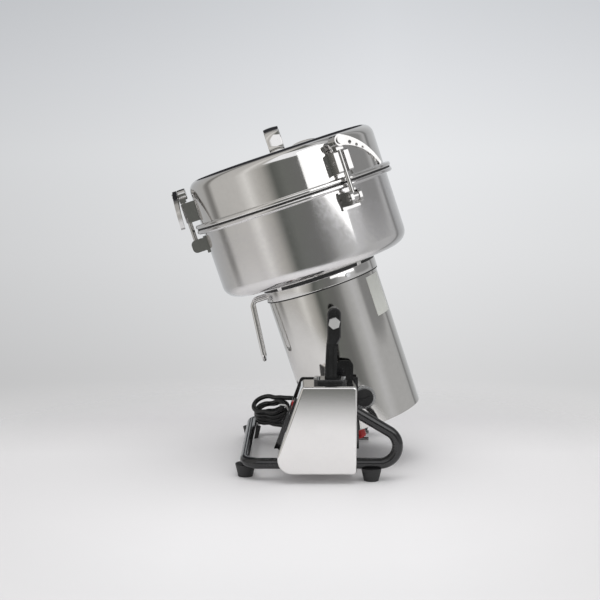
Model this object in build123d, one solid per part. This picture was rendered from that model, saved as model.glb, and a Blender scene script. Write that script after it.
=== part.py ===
from build123d import *
import os
from math import acos, cos, pi, radians, sin, sqrt, tan

os.makedirs("parts", exist_ok=True)

# Driving dimensions, in mm. The stand is drawn about the foot of the tilt axis, and the
# grinder upright about the tilt axis, with its own axis along Z, and then leaned forward.
PIVOT_X = 46.68
PIVOT_Y = -8.48
PIVOT_HEIGHT = 200.0
TILT = 18.5

# Clearances
RUN_FIT = 0.05
SEAT_FIT = 0.1
FREE_GAP = 0.3

# Motor
CASING_RADIUS = 76.0
CASING_WALL = 2.0
CASING_BOTTOM = -151.0
CASING_TOP = 39.0
BAND_STEP = 2.0
BAND_HEIGHT = 13.5
BASE_THICKNESS = 4.0
VENT_COUNT = 12
SHAFT_RADIUS = 7.5
BEARING_RADIUS = 17.5
BEARING_WIDTH = 11.0
BRACKET_THICKNESS = 12.0
STATOR_LENGTH = 54.0
STATOR_TOP = -8.0
ARMATURE_RADIUS = 37.0
AIR_GAP = 1.0
COIL_HEIGHT = 14.0
COMMUTATOR_RADIUS = 18.0
COMMUTATOR_LENGTH = 23.0
FAN_RADIUS = 60.0
FAN_BLADES = 9
BRUSH_LEVEL = -111.0
BRUSH_TURN = 4.3
BRUSH_HOLDER_RADIUS = 8.0
BRUSH_COLLAR_RADIUS = 15.0
BRUSH_CAP_RADIUS = 11.5
BRUSH_CAP_STAND = 2.5
BRUSH_COLLAR_STAND = 3.5
BRUSH_COLLAR_DEPTH = 13.5
BRUSH_STEM = 28.0
BRUSH_WIDTH = 8.0
BRUSH_HEIGHT = 6.0

# Bowl and lid
BOWL_RADIUS = 128.0
BOWL_WALL = 1.5
BOWL_HEIGHT = 100.0
BOWL_CORNER = 17.0
GASKET_HEIGHT = 7.5
GASKET_INSET = 0.4
GASKET_BORE = 20.0
LUG_WIDTH = 9.0
LUG_DEPTH = 7.0
BOWL_SCREW_CIRCLE = 45.0
BOWL_SCREW_RADIUS = 3.0
RIM_OVERHANG = 8.0
RIM_BEAD = 5.5
SEAL_THICKNESS = 1.6
LID_HEIGHT = 63.0
LID_CORNER = 14.0
LID_WALL = 1.2
LIP_DEPTH = 8.0
HANDLE_WIDTH = 20.0
HANDLE_REACH = 46.0
HANDLE_RISE = 31.0
HANDLE_FOOT = 14.0
HANDLE_STRAP = 3.0
HANDLE_BEND = 18.0

# Latches
LATCH_AZIMUTHS = (-89.5, 30.5, 150.5)
LATCH_OFFSET = 14.0
CLEVIS_BELOW_RIM = 20.0
FORK_TOP_ABOVE_RIM = 39.0
FORK_HEIGHT = 27.0
FORK_SLOT = 8.4
FORK_WIDTH = 22.0
FORK_OVERHANG = 3.0
BOLT_DIAMETER = 6.0
EYE_RADIUS = 6.0
EYE_WIDTH = 8.0
DRUM_RADIUS = 7.4
DRUM_GAP = 0.9
DRUM_NECK = 3.5
LEVER_INNER = 3.5
LEVER_THICKNESS = 5.5
LEVER_REACH = 62.0
LEVER_DROP = 15.0
LEVER_RESTS = (-28.0, -28.0, 30.0)

# Tilt bail
BAIL_RADIUS = 2.9
BAIL_HALF = 14.0
BAIL_OUT = 19.0
BAIL_FLARE = 9.0
BAIL_LOW = -34.0
BAIL_BEND = 8.0

# Blank label
LABEL_WIDTH = 36.0
LABEL_LOW = -20.0
LABEL_HIGH = 33.0
LABEL_TURN = 62.0

# Blades
BLADE_REACH = 104.0
BLADE_WIDTH = 28.0
BLADE_THICKNESS = 3.0
BLADE_TIP = 26.0
BLADE_SPACER = 8.0
NUT_FLATS = 19.0

# Trunnions and posts
BOLT_HOLE_RADIUS = 4.0
BOSS_RADIUS = 8.2
BOLT_HEAD_FLATS = 13.0
BOLT_HEAD_HEIGHT = 5.5
POST_INNER = 107.0
POST_THICKNESS = 17.0
POST_WIDTH = 17.0
POST_FOOT = 33.0
POST_SCREW_X = (-20.5, 11.5)
POST_SCREW_Y = -115.5

# Stand
TUBE_RADIUS = 7.0
TUBE_WALL = 1.5
TUBE_LEVEL = 21.6
TUBE_SIDE = 124.0
TUBE_FRONT = -112.0
TUBE_SLOPE = 31.0
TUBE_CORNER = 20.0
TUBE_LOOP = 22.0
TUBE_VERTEX = 137.6
TUBE_INNER_END = -2.0
MOTOR_ROOM = 8.0
PLATE_THICKNESS = 2.5
COVER_OUTER = 145.0
COVER_WALL = 1.2
COVER_TOP = 123.0
COVER_BOTTOM = 12.0
COVER_FRONT_TOP = -40.0
COVER_FRONT_FOOT = -78.5
COVER_REAR = 28.0
FAR_FRONT_TOP = -29.0
FAR_FRONT_FOOT = -58.5
EAR_TOP = 146.0
EAR_FRONT = 3.0
EAR_WIDTH = 23.0
PLATE_LOW = 31.0
PLATE_LIP = 4.0
PLATE_CORNER = 5.0
PLATE_RISE = 1.5
FOOT_TOP_RADIUS = 13.0
FOOT_BOTTOM_RADIUS = 9.5
FOOT_HEIGHT = 16.0
FOOT_FRONT_Y = 103.0
FOOT_REAR_X = 47.5

# Switch and reset button
SWITCH_LENGTH = 21.0
SWITCH_WIDTH = 15.0
SWITCH_HEIGHT = 92.0
SWITCH_Y = -115.0
ROCKER_RADIUS = 8.0
RESET_X = -16.0
RESET_Y = -40.0
RESET_RADIUS = 9.0
RESET_LENGTH = 16.0

# Mains cord
CORD_DIAMETER = 6.5
GLAND_X = -54.0
GLAND_HEIGHT = 41.0
GLAND_LENGTH = 16.0
LEAD_OUT = 36.0
LEAD_SAG = 40.0
LEAD_BULGE = 26.0
LEAD_LOW = 20.0
LEAD_IN = 30.0
HANK_X = -83.0
HANK_Y = 76.0
HANK_HEIGHT = 45.0
HANK_TURN = 28.0
HANK_LEAN = 30.0
HANK_RUN = 16.0
HANK_STEP = 7.2
HANK_LAYER = 7.0
HANK_INNER = 11.5
HANK_WAIST = 2.0
HANK_TAIL_STEP = 0.5
TAIL_OUT = 4.0
PLUG_RADIUS = 8.5
PLUG_LENGTH = 32.0
PLUG_GRIP = 0.4
TAIL_BEND = 26.0

# Sizes worked out from the driving dimensions
CASING_BORE = CASING_RADIUS - CASING_WALL
BAND_RADIUS = CASING_RADIUS + BAND_STEP
BAND_TOP = CASING_TOP + BAND_HEIGHT
BAIL_LEVEL = CASING_TOP + 7.0
BOWL_BOTTOM = BAND_TOP + GASKET_HEIGHT
RIM = BOWL_BOTTOM + BOWL_HEIGHT
LID_TOP = RIM + LID_HEIGHT
RIM_RADIUS = BOWL_RADIUS + RIM_OVERHANG
SEAL_RADIUS = SHAFT_RADIUS + 4.7
LATCH_RADIUS = BOWL_RADIUS + LATCH_OFFSET
PIN_LEVEL = RIM - CLEVIS_BELOW_RIM
FORK_TOP = RIM + FORK_TOP_ABOVE_RIM
DRUM_LEVEL = FORK_TOP + DRUM_GAP + DRUM_NECK + DRUM_RADIUS
COLLAR_REACH = CASING_RADIUS + BRUSH_COLLAR_STAND
BRUSH_CAP_REACH = COLLAR_REACH + BRUSH_CAP_STAND
BRUSH_END = COMMUTATOR_RADIUS + BRUSH_STEM
THROUGH = BOWL_RADIUS
LEVER_AXLE = LEVER_INNER + LEVER_THICKNESS + FREE_GAP
STATOR_BOTTOM = STATOR_TOP - STATOR_LENGTH
BASE_TOP = CASING_BOTTOM + BASE_THICKNESS
BRACKET_BOTTOM = BASE_TOP + 8.0
PLATE_INNER = CASING_RADIUS + MOTOR_ROOM
PLATE_OUTER = PLATE_INNER + PLATE_THICKNESS
SLANT = (COVER_FRONT_TOP - COVER_FRONT_FOOT) / (COVER_TOP - COVER_BOTTOM)
FAR_SLANT = (FAR_FRONT_TOP - FAR_FRONT_FOOT) / (COVER_TOP - COVER_BOTTOM)
SHELF_TOP = COVER_TOP - COVER_WALL
FLOOR_TOP = BOWL_BOTTOM + BOWL_WALL
BLADE_LEVEL = FLOOR_TOP + 6.5
PLUG_LEVEL = PLUG_RADIUS + PLUG_GRIP + 0.1
LOW = (Align.CENTER, Align.CENTER, Align.MIN)


def disc(radius, bottom, top):
    """An upright cylinder from one level to another."""
    return Pos(0, 0, bottom) * Cylinder(radius, top - bottom, align=LOW)


def ring(inner, outer, bottom, top):
    """An upright ring."""
    return disc(outer, bottom, top) - disc(inner, bottom - 1, top + 1)


def along_y(radius, start, end, x=0.0, z=0.0):
    """A cylinder along Y between two values of Y."""
    low, high = min(start, end), max(start, end)
    return Pos(x, low, z) * Rotation(-90, 0, 0) * Cylinder(radius, high - low, align=LOW)


def along_x(radius, start, end, y=0.0, z=0.0):
    """A cylinder along X between two values of X."""
    return Pos(start, y, z) * Rotation(0, 90, 0) * Cylinder(radius, end - start, align=LOW)


def block(x0, x1, y0, y1, z0, z1):
    """A box between its limits."""
    size = Box(x1 - x0, y1 - y0, z1 - z0)
    return Pos((x0 + x1) / 2, (y0 + y1) / 2, (z0 + z1) / 2) * size


def side_prism(points, y0, y1):
    """A prism along Y over an outline given as X, Z points."""
    face = make_face(Polyline(*[(x, 0, z) for x, z in points], close=True))
    return Pos(0, min(y0, y1), 0) * extrude(face, abs(y1 - y0), dir=(0, 1, 0))


def hexagon(flats, bottom, top):
    """A hexagonal prism along Z."""
    face = RegularPolygon(flats / 2, 6, major_radius=False)
    return Pos(0, 0, bottom) * extrude(face, top - bottom)


def leaned(shape):
    """Leans a grinder piece about the tilt axis and sets it at its height on the stand."""
    return Pos(PIVOT_X, PIVOT_Y, PIVOT_HEIGHT) * Rotation(0, -TILT, 0) * shape


def on_stand(shape):
    """Moves a piece drawn about the foot of the tilt axis to its place."""
    return Pos(PIVOT_X, PIVOT_Y, 0) * shape


def far_side(shape):
    """The same piece on the other side of the stand."""
    return mirror(shape, about=Plane.XZ)


def at_latch(shape, azimuth):
    """Turns a piece drawn toward +X to a latch's place round the grinder."""
    return Rotation(0, 0, azimuth - 90) * shape


# Motor casing, top plate and base


def make_casing():
    shell = ring(CASING_BORE, CASING_RADIUS, CASING_BOTTOM, CASING_TOP)
    holes = along_y(BRUSH_HOLDER_RADIUS + SEAT_FIT, -THROUGH, THROUGH, z=BRUSH_LEVEL)
    holes = Rotation(0, 0, BRUSH_TURN) * holes
    return shell - holes - along_y(BOLT_HOLE_RADIUS + SEAT_FIT, -THROUGH, THROUGH)


def make_top_plate():
    plate = disc(BAND_RADIUS, CASING_TOP, BAND_TOP)
    plate = fillet(plate.edges().filter_by(GeomType.CIRCLE), 1.2)
    plate += ring(CASING_BORE - 6, CASING_BORE - SEAT_FIT, CASING_TOP - 8, CASING_TOP + 1)
    plate -= disc(BEARING_RADIUS, CASING_TOP - 1, CASING_TOP + BEARING_WIDTH)
    plate -= disc(SHAFT_RADIUS + 1.5, CASING_TOP, BAND_TOP + 1)
    for x, y in bowl_screw_places():
        plate -= Pos(x, y, 0) * disc(BOWL_SCREW_RADIUS + RUN_FIT, BAND_TOP - 12, BAND_TOP + 1)
    for angle in band_screw_angles():
        level = CASING_TOP + BAND_HEIGHT / 2
        hole = along_x(2 + RUN_FIT, BAND_RADIUS - 12, BAND_RADIUS + 1, z=level)
        hole += along_x(3.2 + SEAT_FIT, BAND_RADIUS - 0.5, BAND_RADIUS + 1, z=level)
        plate -= Rotation(0, 0, angle) * hole
    for y in (-BAIL_HALF, BAIL_HALF):
        plate -= along_x(BAIL_RADIUS + RUN_FIT, -BAND_RADIUS - 1, -BAND_RADIUS + 12, y=y, z=BAIL_LEVEL)
    return plate + band_lugs(0, BOWL_BOTTOM)


def band_lugs(fit, top):
    """Four lugs on the band's rim that carry the bowl."""
    half = LUG_WIDTH / 2 + fit
    lug = block(BAND_RADIUS - LUG_DEPTH - fit, BAND_RADIUS - GASKET_INSET + fit, -half, half, BAND_TOP - 2, top)
    return Compound([Rotation(0, 0, angle) * lug for angle in (45, 135, 225, 315)])


def bowl_screw_places():
    angles = [radians(a) for a in (45, 135, 225, 315)]
    return [(BOWL_SCREW_CIRCLE * cos(a), BOWL_SCREW_CIRCLE * sin(a)) for a in angles]


def band_screw_angles():
    return [-63 + 90 * i for i in range(4)]


def make_band_screws():
    level = CASING_TOP + BAND_HEIGHT / 2
    screws = []
    for angle in band_screw_angles():
        shank = along_x(2, BAND_RADIUS - 10, BAND_RADIUS - 0.5, z=level)
        head = along_x(3.2, BAND_RADIUS - 0.5, BAND_RADIUS + 1.3, z=level)
        screws.append(Rotation(0, 0, angle) * (shank + head))
    return Compound(screws)


def make_base():
    base = disc(CASING_BORE - SEAT_FIT, CASING_BOTTOM, BASE_TOP)
    base += ring(CASING_BORE - 4, CASING_BORE - SEAT_FIT, BASE_TOP - 1, BASE_TOP + 5)
    for i in range(VENT_COUNT):
        slot = block(0.38 * CASING_BORE, 0.84 * CASING_BORE, -2.5, 2.5, CASING_BOTTOM - 1, BASE_TOP + 1)
        base -= Rotation(0, 0, 360 / VENT_COUNT * i + 15) * slot
    reset = Pos(RESET_X, RESET_Y, 0)
    base += reset * disc(RESET_RADIUS + 7, CASING_BOTTOM, BASE_TOP)
    base -= reset * disc(RESET_RADIUS + FREE_GAP, CASING_BOTTOM - 1, BASE_TOP + 1)
    return base + reset * reset_collar()


def make_bearing(bottom):
    return ring(SHAFT_RADIUS + RUN_FIT, BEARING_RADIUS, bottom, bottom + BEARING_WIDTH)


def make_bearing_bracket():
    top = BRACKET_BOTTOM + BRACKET_THICKNESS
    bracket = disc(CASING_BORE - SEAT_FIT, BRACKET_BOTTOM, top)
    bracket -= disc(BEARING_RADIUS, BRACKET_BOTTOM - 1, BRACKET_BOTTOM + BEARING_WIDTH)
    bracket -= disc(SHAFT_RADIUS + 1, BRACKET_BOTTOM, top + 1)
    middle = (BEARING_RADIUS + CASING_BORE) / 2
    for angle in (0, 45, 135, 180, 225, 315):
        window = Pos(middle, 0, 0) * disc(0.3 * middle, BRACKET_BOTTOM - 1, top + 1)
        bracket -= Rotation(0, 0, angle) * window
    for side in (-1, 1):
        low, far = sorted(((COMMUTATOR_RADIUS + 6) * side, (CASING_BORE - 8) * side))
        bracket += block(-BRUSH_HOLDER_RADIUS - 2, BRUSH_HOLDER_RADIUS + 2, low, far, top - 1, BRUSH_LEVEL)
    bracket -= along_y(BRUSH_HOLDER_RADIUS, -THROUGH, THROUGH, z=BRUSH_LEVEL)
    return Rotation(0, 0, BRUSH_TURN) * bracket


# Brushes, one set on each side below the tilt bolts, turned a little about the motor's axis


def brush_bar(side, start, end, fit):
    """A bar of the brush's section, less or more a fit, between two distances from the axis."""
    wide, high = BRUSH_WIDTH / 2 + fit, BRUSH_HEIGHT / 2 + fit
    low, far = sorted((start * side, end * side))
    return block(-wide, wide, low, far, BRUSH_LEVEL - high, BRUSH_LEVEL + high)


def make_brush_holders():
    holders = []
    for side in (-1, 1):
        inner = (COMMUTATOR_RADIUS + 4) * side
        tube = along_y(BRUSH_HOLDER_RADIUS, inner, COLLAR_REACH * side, z=BRUSH_LEVEL)
        collar = along_y(BRUSH_COLLAR_RADIUS, (COLLAR_REACH - BRUSH_COLLAR_DEPTH) * side, COLLAR_REACH * side,
                         z=BRUSH_LEVEL)
        collar -= disc(CASING_RADIUS, BRUSH_LEVEL - 2 * BRUSH_COLLAR_RADIUS, BRUSH_LEVEL + 2 * BRUSH_COLLAR_RADIUS)
        holders.append(tube + collar - brush_bar(side, COMMUTATOR_RADIUS, THROUGH, SEAT_FIT))
    return Rotation(0, 0, BRUSH_TURN) * Compound(holders)


def make_brushes():
    brushes = [brush_bar(side, COMMUTATOR_RADIUS + FREE_GAP, BRUSH_END, 0) for side in (-1, 1)]
    return Rotation(0, 0, BRUSH_TURN) * Compound(brushes)


def make_brush_caps():
    caps = []
    for side in (-1, 1):
        cap = along_y(BRUSH_CAP_RADIUS, COLLAR_REACH * side, BRUSH_CAP_REACH * side, z=BRUSH_LEVEL)
        stem = brush_bar(side, BRUSH_END, COLLAR_REACH + 0.5, -SEAT_FIT)
        low, far = sorted(((BRUSH_CAP_REACH - 1) * side, (BRUSH_CAP_REACH + 1) * side))
        slot = block(-0.7 * BRUSH_CAP_RADIUS, 0.7 * BRUSH_CAP_RADIUS, low, far, BRUSH_LEVEL - 1, BRUSH_LEVEL + 1)
        caps.append(cap + stem - slot)
    return Rotation(0, 0, BRUSH_TURN) * Compound(caps)


# Motor windings, rotor and blades


def make_stator():
    return ring(ARMATURE_RADIUS + AIR_GAP, CASING_BORE - SEAT_FIT, STATOR_BOTTOM, STATOR_TOP)


def make_field_coils():
    coils = []
    for bottom in (STATOR_TOP, STATOR_BOTTOM - COIL_HEIGHT):
        coil = ring(ARMATURE_RADIUS + 4, CASING_BORE - 11, bottom, bottom + COIL_HEIGHT)
        coils.append(fillet(coil.edges().filter_by(GeomType.CIRCLE), 3))
    return Compound(coils)


def make_shaft():
    shaft = disc(SHAFT_RADIUS, BRACKET_BOTTOM, BLADE_LEVEL)
    shaft += disc(11, BLADE_LEVEL - 4, BLADE_LEVEL)
    top = BLADE_LEVEL + 2 * BLADE_THICKNESS + BLADE_SPACER + 14
    return shaft + disc(6, BLADE_LEVEL - 1, top)


def make_armature():
    core = ring(SHAFT_RADIUS, ARMATURE_RADIUS, STATOR_BOTTOM + 2, STATOR_TOP - 2)
    for i in range(12):
        slot = block(ARMATURE_RADIUS - 9, ARMATURE_RADIUS + 1, -1.5, 1.5, STATOR_BOTTOM, STATOR_TOP)
        core -= Rotation(0, 0, 30 * i) * slot
    return core


def make_armature_coils():
    coils = []
    height = COIL_HEIGHT - 2
    for bottom in (STATOR_TOP - 2, STATOR_BOTTOM + 2 - height):
        coils.append(ring(SHAFT_RADIUS, ARMATURE_RADIUS - 6, bottom, bottom + height))
    return Compound(coils)


def make_commutator():
    bottom = BRUSH_LEVEL - 10
    drum = ring(SHAFT_RADIUS, COMMUTATOR_RADIUS, bottom, bottom + COMMUTATOR_LENGTH)
    for i in range(18):
        groove = block(COMMUTATOR_RADIUS - 1, COMMUTATOR_RADIUS + 1, -0.4, 0.4, bottom - 1,
                       bottom + COMMUTATOR_LENGTH - 3)
        drum -= Rotation(0, 0, 20 * i) * groove
    return drum


def make_fan():
    level = STATOR_TOP + COIL_HEIGHT + 6
    fan = ring(SHAFT_RADIUS, 14, level, level + 14) + ring(SHAFT_RADIUS, FAN_RADIUS, level, level + 2)
    for i in range(FAN_BLADES):
        vane = Pos(0, 8, 0) * block(16, FAN_RADIUS - 3, -1, 1, level + 1, level + 14)
        fan += Rotation(0, 0, 360 / FAN_BLADES * i) * vane
    return fan


def make_blade(level, bend):
    """A flat cutter bar whose tips are bent up or down, with a bevelled leading edge."""
    knee = BLADE_REACH - BLADE_TIP
    rise = BLADE_TIP * tan(radians(bend))
    outline = [(-BLADE_REACH, rise), (-knee, 0), (knee, 0), (BLADE_REACH, rise),
               (BLADE_REACH, rise + BLADE_THICKNESS), (knee, BLADE_THICKNESS),
               (-knee, BLADE_THICKNESS), (-BLADE_REACH, rise + BLADE_THICKNESS)]
    bar = side_prism(outline, -BLADE_WIDTH / 2, BLADE_WIDTH / 2)
    for turn in (0, 180):
        bevel = Pos(0, -BLADE_WIDTH / 2, BLADE_THICKNESS + rise / 2)
        bevel = bevel * Rotation(40, 0, 0) * block(BLADE_REACH * 0.3, BLADE_REACH + 5, -5, 5, -1.2, 9)
        bar -= Rotation(0, 0, turn) * bevel
    return Pos(0, 0, level) * (bar - disc(6 + SEAT_FIT, -5, 9))


def make_lower_blade():
    return make_blade(BLADE_LEVEL, -8)


def make_upper_blade():
    return Rotation(0, 0, 90) * make_blade(BLADE_LEVEL + BLADE_THICKNESS + BLADE_SPACER, 20)


def make_blade_spacer():
    bottom = BLADE_LEVEL + BLADE_THICKNESS
    return ring(6 + SEAT_FIT, 12, bottom, bottom + BLADE_SPACER)


def make_blade_nut():
    bottom = BLADE_LEVEL + 2 * BLADE_THICKNESS + BLADE_SPACER
    return hexagon(NUT_FLATS, bottom, bottom + 10) - disc(6 + RUN_FIT, bottom - 1, bottom + 20)


# Bowl, gasket, seals


def make_bowl():
    outer = disc(BOWL_RADIUS, BOWL_BOTTOM, RIM - 1)
    outer = fillet(outer.edges().filter_by(GeomType.CIRCLE).sort_by(Axis.Z)[0], BOWL_CORNER)
    inner = disc(BOWL_RADIUS - BOWL_WALL, FLOOR_TOP, RIM + 1)
    inner = fillet(inner.edges().filter_by(GeomType.CIRCLE).sort_by(Axis.Z)[0],
                   BOWL_CORNER - BOWL_WALL)
    seat = RIM - SEAL_THICKNESS / 2
    bead = disc(RIM_RADIUS, seat - RIM_BEAD, seat)
    bead = fillet(bead.edges().filter_by(GeomType.CIRCLE), RIM_BEAD * 0.4)
    bowl = outer + bead - inner
    bowl -= disc(SEAL_RADIUS, BOWL_BOTTOM - 1, FLOOR_TOP + 1)
    for x, y in bowl_screw_places():
        bowl -= Pos(x, y, 0) * disc(BOWL_SCREW_RADIUS + SEAT_FIT, BOWL_BOTTOM - 1, FLOOR_TOP + 1)
    return bowl


def make_bowl_gasket():
    gasket = ring(GASKET_BORE, BAND_RADIUS - GASKET_INSET, BAND_TOP, BOWL_BOTTOM)
    for x, y in bowl_screw_places():
        gasket -= Pos(x, y, 0) * disc(BOWL_SCREW_RADIUS + SEAT_FIT, BAND_TOP - 1, BOWL_BOTTOM + 1)
    return gasket - band_lugs(SEAT_FIT, BOWL_BOTTOM + 1)


def make_bowl_screws():
    screws = []
    for x, y in bowl_screw_places():
        head = disc(BOWL_SCREW_RADIUS + 2.5, FLOOR_TOP, FLOOR_TOP + 3)
        head = fillet(head.edges().filter_by(GeomType.CIRCLE).sort_by(Axis.Z)[-1], 1.5)
        screws.append(Pos(x, y, 0) * (head + disc(BOWL_SCREW_RADIUS, BAND_TOP - 11, FLOOR_TOP + 1)))
    return Compound(screws)


def make_shaft_seal():
    body = ring(SHAFT_RADIUS + RUN_FIT, SEAL_RADIUS, BAND_TOP + 1, FLOOR_TOP + 1.2)
    return body + ring(SHAFT_RADIUS + RUN_FIT, SEAL_RADIUS + 3.8, FLOOR_TOP, FLOOR_TOP + 1.2)


# Lid


def make_lid():
    seat = RIM + SEAL_THICKNESS / 2
    outer = disc(BOWL_RADIUS, seat, LID_TOP)
    outer = fillet(outer.edges().filter_by(GeomType.CIRCLE).sort_by(Axis.Z)[-1], LID_CORNER)
    inner = disc(BOWL_RADIUS - LID_WALL, seat - 1, LID_TOP - LID_WALL)
    inner = fillet(inner.edges().filter_by(GeomType.CIRCLE).sort_by(Axis.Z)[-1], LID_CORNER - LID_WALL)
    bead = disc(RIM_RADIUS, seat, seat + RIM_BEAD)
    bead = fillet(bead.edges().filter_by(GeomType.CIRCLE), RIM_BEAD * 0.4)
    lip_radius = BOWL_RADIUS - BOWL_WALL - 0.8
    lip = ring(lip_radius - 1.2, lip_radius, RIM - LIP_DEPTH, seat + 4)
    web = ring(lip_radius - 1.2, BOWL_RADIUS - LID_WALL / 2, seat + 2.8, seat + 4)
    lid = outer + bead - inner
    return lid + lip + web


def make_lid_gasket():
    low = RIM - SEAL_THICKNESS / 2
    return ring(BOWL_RADIUS, RIM_RADIUS - 2.5, low, low + SEAL_THICKNESS)


def make_lid_handle():
    """A strap bent to an arch across the lid, with a foot at each end."""
    reach, foot, height, strap = HANDLE_REACH, HANDLE_FOOT, HANDLE_RISE, HANDLE_STRAP
    base = LID_TOP
    path = [(-reach - foot, 0), (-reach, 0), (-reach + 8, height), (reach - 8, height), (reach, 0),
            (reach + foot, 0), (reach + foot, strap), (reach + 2.4, strap),
            (reach - 5.7, height + strap), (-reach + 5.7, height + strap), (-reach - 2.4, strap),
            (-reach - foot, strap)]
    face = make_face(Polyline(*[(0, y, z + base) for y, z in path], close=True))
    arch = extrude(face, HANDLE_WIDTH / 2, dir=(1, 0, 0), both=True)
    inner = [e for e in arch.edges().filter_by(Axis.X) if abs((e @ 0.5).Z - base - height) < 0.01]
    arch = fillet(inner, HANDLE_BEND - strap)
    outer = [e for e in arch.edges().filter_by(Axis.X) if (e @ 0.5).Z > base + height + strap - 0.01]
    return fillet(outer, HANDLE_BEND)


# Latches, each drawn toward +X with its bolt upright


def make_fork():
    low = FORK_TOP - FORK_HEIGHT
    reach = LATCH_RADIUS + FORK_OVERHANG
    fork = block(BOWL_RADIUS - 5, reach, -FORK_WIDTH / 2, FORK_WIDTH / 2, low, FORK_TOP)
    slot = block(LATCH_RADIUS - 6, reach + 1, -FORK_SLOT / 2, FORK_SLOT / 2, low - 1, FORK_TOP + 1)
    tips = [e for e in fork.edges().filter_by(Axis.Y) if (e @ 0.5).X > reach - 1]
    fork = fillet(tips, 2.0) - slot
    for side in (-1, 1):
        rivet = along_y(2.2, side * FORK_WIDTH / 2, side * (FORK_WIDTH / 2 + 1.2),
                        x=LATCH_RADIUS - 4, z=FORK_TOP - FORK_HEIGHT / 2)
        fork += rivet
    return fork - disc(BOWL_RADIUS, low - 1, FORK_TOP + 1)


def make_clevis():
    half = EYE_WIDTH / 2 + FREE_GAP + 4
    clevis = block(BOWL_RADIUS - 6, LATCH_RADIUS + 7, -half, half, PIN_LEVEL - 9, PIN_LEVEL + 8)
    tips = [e for e in clevis.edges().filter_by(Axis.Y) if (e @ 0.5).X > LATCH_RADIUS]
    clevis = fillet(tips, 6)
    gap = EYE_WIDTH / 2 + FREE_GAP
    clevis -= block(LATCH_RADIUS - EYE_RADIUS - 2, LATCH_RADIUS + 10, -gap, gap, PIN_LEVEL - 12,
                    PIN_LEVEL + 12)
    plate = block(BOWL_RADIUS - 6, BOWL_RADIUS + 2.5, -half - 5, half + 5, PIN_LEVEL - 13, PIN_LEVEL + 10)
    clevis += plate
    clevis -= along_y(2.5 + RUN_FIT, -20, 20, x=LATCH_RADIUS, z=PIN_LEVEL)
    return clevis - disc(BOWL_RADIUS, PIN_LEVEL - 30, PIN_LEVEL + 30)


def make_clevis_pin():
    half = EYE_WIDTH / 2 + FREE_GAP + 4
    pin = along_y(2.5, -half, half, x=LATCH_RADIUS, z=PIN_LEVEL)
    for side in (-1, 1):
        pin += along_y(4, side * half, side * (half + 1.5), x=LATCH_RADIUS, z=PIN_LEVEL)
    return pin


def make_latch_bolt():
    """The eyebolt that swings on the bowl, with the drum and the lever's stub axle on top."""
    eye = along_y(EYE_RADIUS, -EYE_WIDTH / 2, EYE_WIDTH / 2, x=LATCH_RADIUS, z=PIN_LEVEL)
    rod = Pos(LATCH_RADIUS, 0, 0) * disc(BOLT_DIAMETER / 2, PIN_LEVEL, DRUM_LEVEL)
    drum = along_x(DRUM_RADIUS, LATCH_RADIUS - 8, LATCH_RADIUS + 3.2, z=DRUM_LEVEL)
    rims = drum.edges().filter_by(GeomType.CIRCLE)
    drum = chamfer(rims, 0.8)
    axle = along_x(3, LATCH_RADIUS + 3, LATCH_RADIUS + LEVER_AXLE, z=DRUM_LEVEL)
    cap = along_x(4.6, LATCH_RADIUS + LEVER_AXLE - 0.2, LATCH_RADIUS + LEVER_AXLE + 1.6, z=DRUM_LEVEL)
    half = 0.7 * DRUM_RADIUS
    neck = block(LATCH_RADIUS - half, LATCH_RADIUS + 3.2, -half, half, FORK_TOP + DRUM_GAP, DRUM_LEVEL)
    bolt = eye + rod + neck + drum + axle + cap
    return bolt - along_y(2.5 + RUN_FIT, -20, 20, x=LATCH_RADIUS, z=PIN_LEVEL)


def make_lever(rest):
    """A curved lever with three holes, turning on the stub axle, turned to its rest."""
    start = LATCH_RADIUS + LEVER_INNER
    reach, drop = LEVER_REACH, LEVER_DROP
    root = DRUM_RADIUS - 0.2
    upper = ThreePointArc((0, root), (reach * 0.5, 4.6), (reach, -drop + 1))
    lower = ThreePointArc((reach - 1, -drop - 2), (reach * 0.46, -2.6), (0, -root))
    edges = [upper, Line((reach, -drop + 1), (reach - 1, -drop - 2)), lower, Line((0, -root), (0, root))]
    outline = make_face(edges)
    outline += Circle(DRUM_RADIUS)
    for place, radius in ((14, 2.4), (24, 2.0), (33, 1.6)):
        outline -= Pos(place, 1.4 - 0.0025 * place * place) * Circle(radius)
    outline -= Circle(3 + RUN_FIT)
    plate = Rotation(0, 0, rest) * extrude(outline, LEVER_THICKNESS)
    upright = Plane(origin=(start, 0, DRUM_LEVEL), x_dir=(0, 1, 0), z_dir=(1, 0, 0))
    return upright.location * plate


# Tilt bolts, bosses, bail and label


def make_trunnion(side=-1):
    inner = side * (CASING_RADIUS - 10)
    boss = along_y(BOSS_RADIUS, inner, side * (POST_INNER - 1.5))
    boss -= disc(CASING_RADIUS, -2 * BOSS_RADIUS, 2 * BOSS_RADIUS)
    return boss - along_y(BOLT_HOLE_RADIUS + RUN_FIT, 0, side * (POST_INNER + POST_THICKNESS))


def make_pivot_bolt(side=-1):
    outer = POST_INNER + POST_THICKNESS + FREE_GAP
    head = hexagon(BOLT_HEAD_FLATS, outer + 1.6, outer + 1.6 + BOLT_HEAD_HEIGHT)
    washer = disc(8, outer, outer + 1.6)
    shank = disc(BOLT_HOLE_RADIUS, CASING_RADIUS - CASING_WALL, outer + 2)
    bolt = head + washer + shank
    return Rotation(90 if side < 0 else -90, 0, 0) * bolt


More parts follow.
